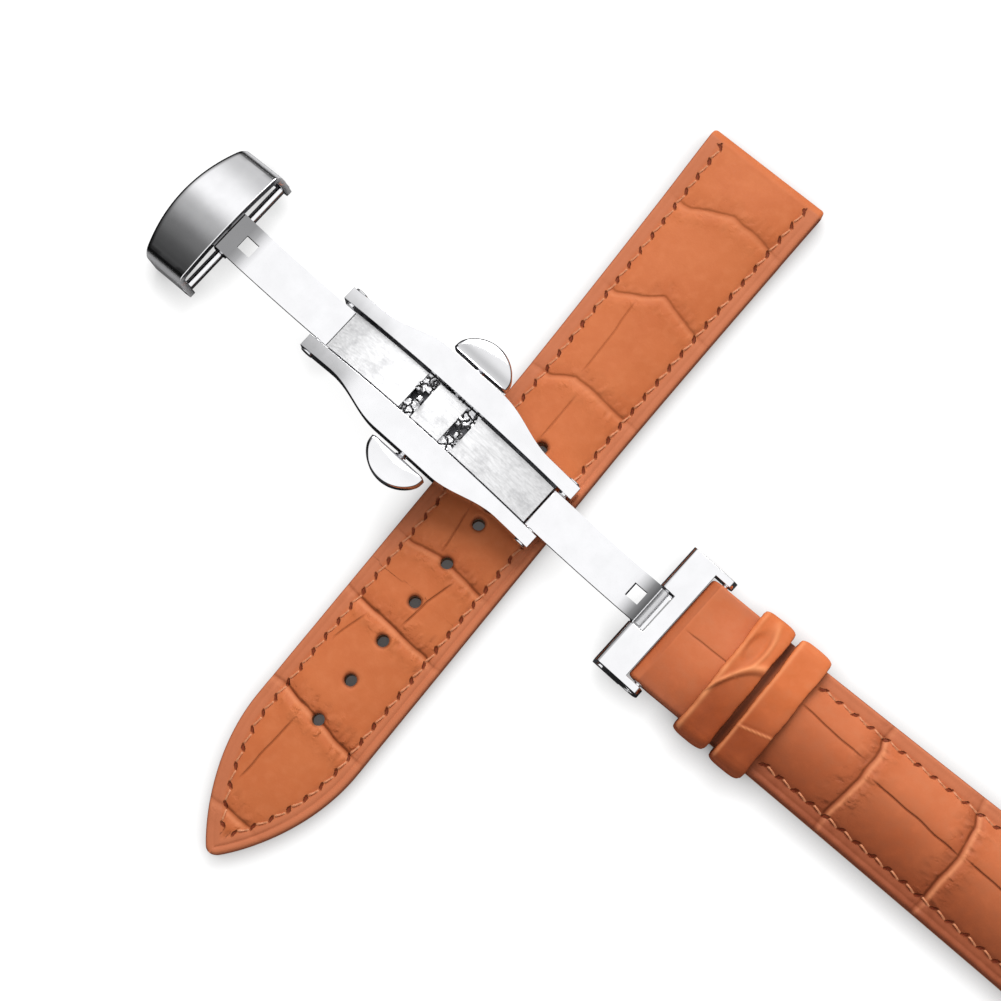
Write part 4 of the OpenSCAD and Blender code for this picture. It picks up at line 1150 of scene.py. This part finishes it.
for node, x in (("left_pin", frame_x - hinge_out), ("right_pin", frame_x + hinge_out)):
    pin_ends(node, x, hinge_z, *both_ends((arm_half + 0.04, 5.01, 0.6), (5.02, 5.27, 0.9)))


# Catches and buttons. Each button's shank passes its rail and carries a stamped catch with two
# hooks; a small coil spring pushes the button out again.

button_z, shank_z, button_y, cap_y = 6.583, 51.1 - frame_drop, 7.45, 1.6


def cracked(name):
    """Tumbled chrome: bright lumps with seams between them painted dark as their shade."""
    f = Finish(name, 0.22, Metallic=1.0)
    where = f.place()
    bent = f.node("TexNoise", {"Vector": where, "Scale": 1.0, "Detail": 2.0}, "Color")
    bent = f.node("VectorMath", {0: where, 1: bent}, operation="ADD")
    lumps = f.node("TexVoronoi", {"Vector": bent, "Scale": 0.8}, feature="DISTANCE_TO_EDGE")
    seam = f.ramp(lumps, 0.0, 0.11)
    # painted shade in the seams between the lumps
    f.set(Base_Color=f.mix(seam, srgb(30, 30, 32), srgb(214, 214, 216)))
    f.bump(seam, 0.18)
    f.bump(f.noise(where, 2.2, 3), 0.15)
    return f.material


def button(name, node, side):
    """A domed cap on a round shank. Its outline, seen from a point 1.6 mm out from the flat
    side, is the nearest of that side, both ends and an arc of radius 4.695, blended as
    (sum of 1 / distance^30)^(-1/30); rings step in from it and up, then rise to 2.4 as
    1 - share^2."""
    a = np.linspace(0, 2 * pi, 97)[:-1]
    c, s = np.cos(a), np.sin(a)
    to_centre = cap_y + 1.015
    flat = np.maximum(-s, 1e-6) / cap_y * (s < 0)
    ends = np.abs(c) / 4.25
    arc = 1 / (np.sqrt((to_centre * s) ** 2 - to_centre**2 + 4.695**2) - to_centre * s)
    rho = (flat**30 + ends**30 + arc**30) ** (-1 / 30) + 0.08
    rings = [(0.2, 0.0), (0.0, 0.2), (0.0, 1.7), (0.04, 1.94), (0.13, 2.08), (0.28, 2.17), (0.5, 2.21)]
    rows = [(rho - inset, height) for inset, height in rings]
    for share in (0.85, 0.7, 0.55, 0.4, 0.25, 0.1):
        rows.append(((rho - 0.5) * share, 2.21 + 0.19 * (1 - share**2)))
    cap = [np.stack([r * c, cap_y + button_y + r * s, button_z + z + 0 * r], 1) for r, z in rows]
    shank = round_bars(0.0, shank_z, (3.05, 7.75, 0.5))
    points, faces = joined((np.concatenate(cap), tube(len(rows), len(a))), shank)
    points = points * [side, side, 1] + [frame_x, 0, 0]
    out = np.abs(points[:, 1]) - button_y
    # painted dark reflection: a grey band on the cap a little out from the rail, much fainter on the second
    # button
    painted_dark_reflection = (0.3 if side > 0 else 0.05) * (0.45 + 0.9 * bell(out, 0.9, 0.7)) * (out < 2.9)
    polished(name, (points, faces), node, 35, {"dark": painted_dark_reflection})


rough_steel = cracked("tumbled_steel")
wire = steel("spring_steel", 0.22, tone=(200, 200, 206))
for node in ("catch_a", "catch_b"):
    finished(node, 0.12, rough_steel)
button("push_button_a", "button_a", 1)
button("push_button_b", "button_b", -1)
springs = [("button_spring_a", "button_a_press", 1), ("button_spring_b", "button_b_press", -1)]
for node, joint, side in springs:
    spring = finished(node, 0, wire, smooth=70)
    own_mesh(spring)


# Arms. Two blades bent to the frame's arch, each with a knuckle at both ends and a square hole
# for the catches.

inner_r, outer_r, hinge_rise, fold_turn = 52.55, 53.45, 49.212, radians(169.475)
knuckle_x, knuckle_z = 17.653, -2.496


def blade(x, r):
    """Points of the opened blade, as distance out from the hinge pin and height over it: at x
    from the frame's middle and radius r when shut, then turned by 169.475 degrees."""
    x = np.asarray(x, float)
    dx, dz = x - hinge_out, np.sqrt(r * r - x * x) - hinge_rise
    c, s = cos(fold_turn), sin(fold_turn)
    return np.stack([dx * c + dz * s, dz * c - dx * s], 1)


def arm(name, node, side, far_end, last, painted_dark_reflection, fade, *barrel):
    """A blade with a rolled knuckle at both ends: its section, carried across in three strips;
    the square hole is cut from the middle one. A barrel may lie along its far end. The blade is
    painted darker toward its far end, a painted reflection, by the amount given over the span fade;
    the barrel is marked satin."""
    a = np.radians(np.linspace(-80, -170, 10))
    hinge = np.stack([1.05 * np.cos(a), 1.05 * np.sin(a)], 1)
    top = [(-1.12, -0.36), (-1.05, -0.22), (-0.6, -0.14), (0, -0.18)]
    top += [(0.6, -0.25), (1.2, -0.33), (1.75, -0.41)]
    x = np.concatenate([np.linspace(15.9, 4.3, 15), [3.3, 2.3]])
    a = np.radians(np.linspace(0, -180, 15))
    knuckle = np.stack([knuckle_x + np.cos(a), knuckle_z + np.sin(a)], 1)
    upper = np.concatenate([top, blade(x, inner_r), blade(last, inner_r)])
    lower = blade([17.3, 16.6, *x, 1.95], outer_r)
    ring = np.concatenate([upper, far_end, knuckle, [(16.65, -2.3)], lower[::-1], hinge])
    n = len(ring)
    above, below = len(top) + 14, len(upper) + len(far_end) + len(knuckle) + 2
    y = np.array([-arm_half, -1, 1, arm_half])
    points = np.concatenate([np.stack([ring[:, 0], 0 * ring[:, 0] + v, ring[:, 1]], 1) for v in y])
    i, j = np.arange(n), (np.arange(n) + 1) % n
    quads = np.stack([i, j, j + n, i + n], 1)
    middle = np.delete(quads, [above, above + 1, below, below + 1], 0)
    faces = [*quads.tolist(), *(middle + n).tolist(), *(quads + 2 * n).tolist()]
    faces += [i.tolist(), (i[::-1] + 3 * n).tolist()]
    for strip in (n, 2 * n):
        faces.append([v + k + strip for v in (above, below) for k in range(3)])
    for v, w in ((above, below + 2), (above + 2, below)):
        faces.append([v + n, v + 2 * n, w + 2 * n, w + n])
    points, faces = joined((points, faces), *barrel)
    # painted dark reflection toward the blade's far end
    dark = painted_dark_reflection * step(points[:, 0], *fade) * (points[:, 2] > -0.9)
    marks = {"dark": dark, "satin": 0.7 * (np.arange(len(points)) >= 4 * n)}
    points = points * [side, 1, 1] + [frame_x + hinge_out * side, 0, hinge_z]
    rounded(polished(name, (points, faces), node, 40, marks), 0.07, 2, 40)


left_end = [(18.35, -0.5), (18.5, -1.4)]
right_end = [(16.97, -1.9), (18.3, -1.9), (18.3, -1.72), (18.63, -1.72)]
sleeve = round_bars(17.62, -1.55, (-arm_half + 0.05, arm_half - 0.05, 0.58))
arm("left_arm", "arm_1", -1, left_end, [1.4, 0.3], 0.7, (13.0, 15.8))
arm("right_arm", "arm_2", 1, right_end, [1.38], 0.9, (13.6, 16.9), sleeve)


# Cover head. A pressed shell with turned-down sides over a rod; the strap passes under it and
# the peg on its cross bar holds one of the strap's holes.

cover_x, pivot_z, cover_tilt, cover_half = -53.6526, 3.1986, radians(18), 9.5


def cover_place(p):
    """Cover coordinates, with its rod at the origin, to the frame: tilted by 18 degrees."""
    c, s = cos(cover_tilt), sin(cover_tilt)
    x, y, z = p.T
    return np.stack([c * x - s * z + cover_x, y, s * x + c * z + pivot_z], 1)


def cover(node):
    """The shell's section across the strap, swept from its straight front to its rear edge, an
    arc of radius 21.61. The crown falls as y^2 / 151, and its sides roll over by 1.3 mm."""
    roll, crown_z, under_z = 1.3, 3.6, 2.7
    a = np.radians(np.linspace(0, 84, 12))
    y0 = cover_half - roll
    z0 = crown_z - y0**2 / 151 - roll
    down = np.stack([np.full(5, cover_half), np.linspace(-1.1, z0 - 0.3, 5)], 1)
    side = np.stack([y0 + roll * np.cos(a), z0 + roll * np.sin(a)], 1)
    y = np.linspace(y0, 0, 22)[1:]
    right = np.concatenate([down, side, np.stack([y, crown_z - y**2 / 151], 1)])
    y = np.linspace(0, 8.2, 14)
    under = np.stack([y, under_z - y**2 / 149.2], 1)
    drop = under[-1, 1] - 0.4
    wall = [(8.5, drop + 0.28), (8.6, drop), (8.6, 1.0), (8.6, 0.0), (8.6, -1.1)]
    inner = np.concatenate([under, wall])
    section = np.concatenate([right, (right[:-1] * [-1, 1])[::-1], (inner[1:] * [-1, 1])[::-1], inner])
    sy, sz = section.T
    front = 0.75 - 0.35 * step(sz, 1.6, 2.1)
    rear = 13.21 - np.sqrt(21.61**2 - sy**2)
    share = np.array([0, 2, 5, 10, 18, 28, 40, 52, 64, 74, 83, 90, 95, 98, 100])[:, None] / 100
    sag = 0.12 * np.clip(1 - (1 - share) / 0.06, 0, 1) ** 2
    x, z = front + (rear - front) * share, sz - sag * step(sz, 2.0, 2.6)
    points = np.stack([x, sy + 0 * x, z], 2).reshape(-1, 3)
    m, rows, half = len(section), len(share), len(right) * 2 - 1
    faces = tube(rows, m, caps=False)
    outer, back = np.arange(half), np.linspace(m - 1, half, half).round().astype(int)
    for row in (0, (rows - 1) * m):
        for k in range(half - 1):
            corners = dict.fromkeys([outer[k], outer[k + 1], back[k + 1], back[k]])
            faces.append([int(c) + row for c in corners])
    # the rolled sides are marked satin, a blasted finish whose pale colour is also a painted reflection
    marks = {"satin": 0.85 * step(np.abs(points[:, 1]), 8.75, 9.25)}
    rounded(polished(node + "_formed", (cover_place(points), faces), node, 45, marks), 0.2, 3, 45)


cover("cover_shell")
pin_ends("cover_rod", cover_x, pivot_z, *both_ends((arm_half + 0.05, 8.58, 0.65), (9.5, 9.56, 0.65)))
finished("cover_cross_bar", 0.1, brushed_steel)
finished("strap_peg", 0.15, mirror_steel)


# T-bar and its spring bar. A milled bar turns on a pin in the second arm; its ears hold the
# spring bar's tips in the folded end of the short strap.

t_bar_x, bar_end = 17.6526, 9.7


def ears_flush(p):
    """Draws the ears, 8.4 to 9.5 mm from the middle, out to the bar's ends and up to its top. The
    ends then lean in by 0.35 mm over their height of 2.7."""
    x, y, z = p[:, 0] - t_bar_x, np.abs(p[:, 1]), p[:, 2] - pivot_z
    ear = (x > 3.15) & (y > 8.35) & (y < 9.55) & (z < 1.45) & (np.hypot(x - 5, z - 0.4) > 0.8)
    p[:, 1] = np.where(ear & (y > 9.45), np.sign(p[:, 1]) * bar_end, p[:, 1])
    p[:, 2] = np.where(ear & (z > 0.4), pivot_z + 0.4 + (z - 0.4) * 1.4, p[:, 2])
    lean = 0.35 * (p[:, 2] - pivot_z + 0.9) / 2.7
    p[:, 1] -= np.where(np.abs(p[:, 1]) > bar_end - 0.05, np.sign(p[:, 1]) * lean, 0)
    return p


def half_coil(side):
    """Points and faces of a wire of radius 0.08 on a helix of radius 0.36, five turns from the
    middle of the spring bar out to one tip."""
    t, v = np.linspace(0, 1, 161)[:, None], np.linspace(0, 2 * pi, 9)[None, :-1]
    r = 0.36 + 0.08 * np.cos(v)
    x, z = bar_x + r * np.cos(10 * pi * t), bar_z + r * np.sin(10 * pi * t)
    y = side * (0.08 + 6.66 * t) + 0.08 * np.sin(v)
    return np.stack([x, y, z], 2).reshape(-1, 3), tube(161, 8)


finished("t_bar", 0.36, mirror_steel, 5, reshape=ears_flush)
t_bar_pin = ((-bar_end, -arm_half - 0.05, 0.6), (arm_half + 0.05, 4.85, 0.6))
pin_ends("t_bar_pin", knuckle_x, pivot_z, *t_bar_pin)
cross_brushed = steel("cross_brushed_steel", 0.3, (5000, 60, 5000))
finished("clasp_bar_tube", 0.05, cross_brushed)
for end, joint, side in (("a", "bar_tip_a_slide", 1), ("b", "bar_tip_b_slide", -1)):
    name, node = "clasp_bar_spring_" + end, "clasp_bar_spring"
    coil = new_piece(name, *half_coil(side), "short_strap", node, "spring_wire", wire, 70)
    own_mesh(coil)
for node in ("clasp_bar_tip_a", "clasp_bar_tip_b"):
    finished(node, 0.06, mirror_steel)


# Floor, light and camera. A white table under a large soft lamp that stands behind the object,
# in a white room whose lower walls are dark, so that polished edges have an outline.


def table_top(name):
    """A white that looks white to the camera and dark to polished steel, and keeps the object's
    shadow: a part of it glows, less so near the object."""
    f = Finish(name, 0.9, Specular_IOR_Level=0.0)
    glossy, seen = f.ray("Glossy"), f.ray("Camera")
    base = f.mix(glossy, srgb(236, 236, 236), srgb(60, 60, 62))
    f.set(Base_Color=f.mix(seen, base, srgb(148, 148, 148)))
    covered = f.node("AmbientOcclusion", {"Distance": 0.004})
    glow = f.node("Emission", {"Color": covered, "Strength": seen * 0.92})
    both = f.node("AddShader", {0: Value(f, f.shader.outputs[0]), 1: glow})
    f.join(both, f.tree.nodes["Material Output"].inputs["Surface"])
    return f.material


floor_mesh = bpy.data.meshes.new("floor")
floor_mesh.from_pydata([(-2, -2, 0), (2, -2, 0), (2, 2, 0), (-2, 2, 0)], [], [(0, 1, 2, 3)])
floor_mesh.materials.append(table_top("white_table"))
floor = bpy.data.objects.new("floor", floor_mesh)
floor.location = (0, 0, -0.00005)
bpy.context.scene.collection.objects.link(floor)


def light_room(f, stops, evenly):
    """How bright the room is in each direction. Polished steel sees a wall that brightens upward,
    and behind the object a screen whose brightness follows the stops along Y; all else is lit
    evenly, and the camera sees white."""
    toward_x, toward_y, toward_z = f.split(f.node("TexCoord", output="Generated"))
    soft = {"interpolation_type": "SMOOTHSTEP"}
    wall = f.ramp(toward_z, 0.2, 0.6, 0.02, 1.12, **soft)
    behind = f.ramp(toward_x, -0.50, -0.63, **soft)
    low_left = f.ramp(toward_x, -0.68, -0.78, 1.0, 0.86, **soft)
    screen = f.node("ValToRGB", {0: toward_y + 0.48})
    ramp = screen.socket.node.color_ramp
    ramp.interpolation = "EASE"
    ramp.elements.remove(ramp.elements[1])
    ramp.elements[0].position = stops[0][0]
    for at, _ in stops[1:]:
        ramp.elements.new(at)
    for element, (_, value) in zip(ramp.elements, stops):
        element.color = (value, value, value, 1)
    reflected = wall * (behind * (screen * 1.2) + (1 - behind)) * low_left
    glossy = f.ray("Glossy")
    lit = glossy * reflected + (1 - glossy) * evenly
    return f.math("MAXIMUM", lit, f.math("MAXIMUM", f.ray("Camera"), f.ray("Transmission")))


world = bpy.data.worlds.new("room")
bpy.context.scene.world = world
room = Graph(world)
background = room.tree.nodes["Background"]
screen_stops = [(0.0, 0.005), (0.3, 0.006), (0.38, 0.02), (0.44, 0.07), (0.5, 0.15)]
screen_stops += [(0.58, 0.42), (0.66, 1.0), (0.7, 0.95), (0.78, 0.6), (0.9, 0.2)]
room.join(light_room(room, screen_stops, 0.42), background.inputs["Strength"])
room.join((1, 1, 1, 1), background.inputs["Color"])


def aimed(name, data, way, place_at):
    """A lamp or camera at a place, turned to look against the way given."""
    o = bpy.data.objects.new(name, data)
    bpy.context.scene.collection.objects.link(o)
    o.location = place_at
    o.rotation_mode = "QUATERNION"
    o.rotation_quaternion = way.to_track_quat("Z", "Y")
    return o


lamp = bpy.data.lights.new("key", "AREA")
lamp.shape, lamp.size, lamp.energy = "SQUARE", 0.7, 9.0
toward_lamp = Vector((-0.5, 0.85, 0.95)).normalized()
aimed("key", lamp, toward_lamp, toward_lamp)

azimuth, elevation, lens, sensor, pixels_a_mm = radians(42.226), radians(80.709), 85.0, 36.0, 7.944
view = bpy.data.cameras.new("camera")
view.lens, view.sensor_width, view.clip_start, view.clip_end = lens, sensor, 0.01, 10
back = Vector((sin(azimuth) * cos(elevation), -cos(azimuth) * cos(elevation), sin(elevation)))
target = Vector((-5.533, -2.396, 3.0)) * 0.001
distance = lens / sensor * 1001 / pixels_a_mm * 0.001
bpy.context.scene.camera = aimed("camera", view, back, target + back * distance)
bpy.context.scene.view_settings.view_transform = "Standard"
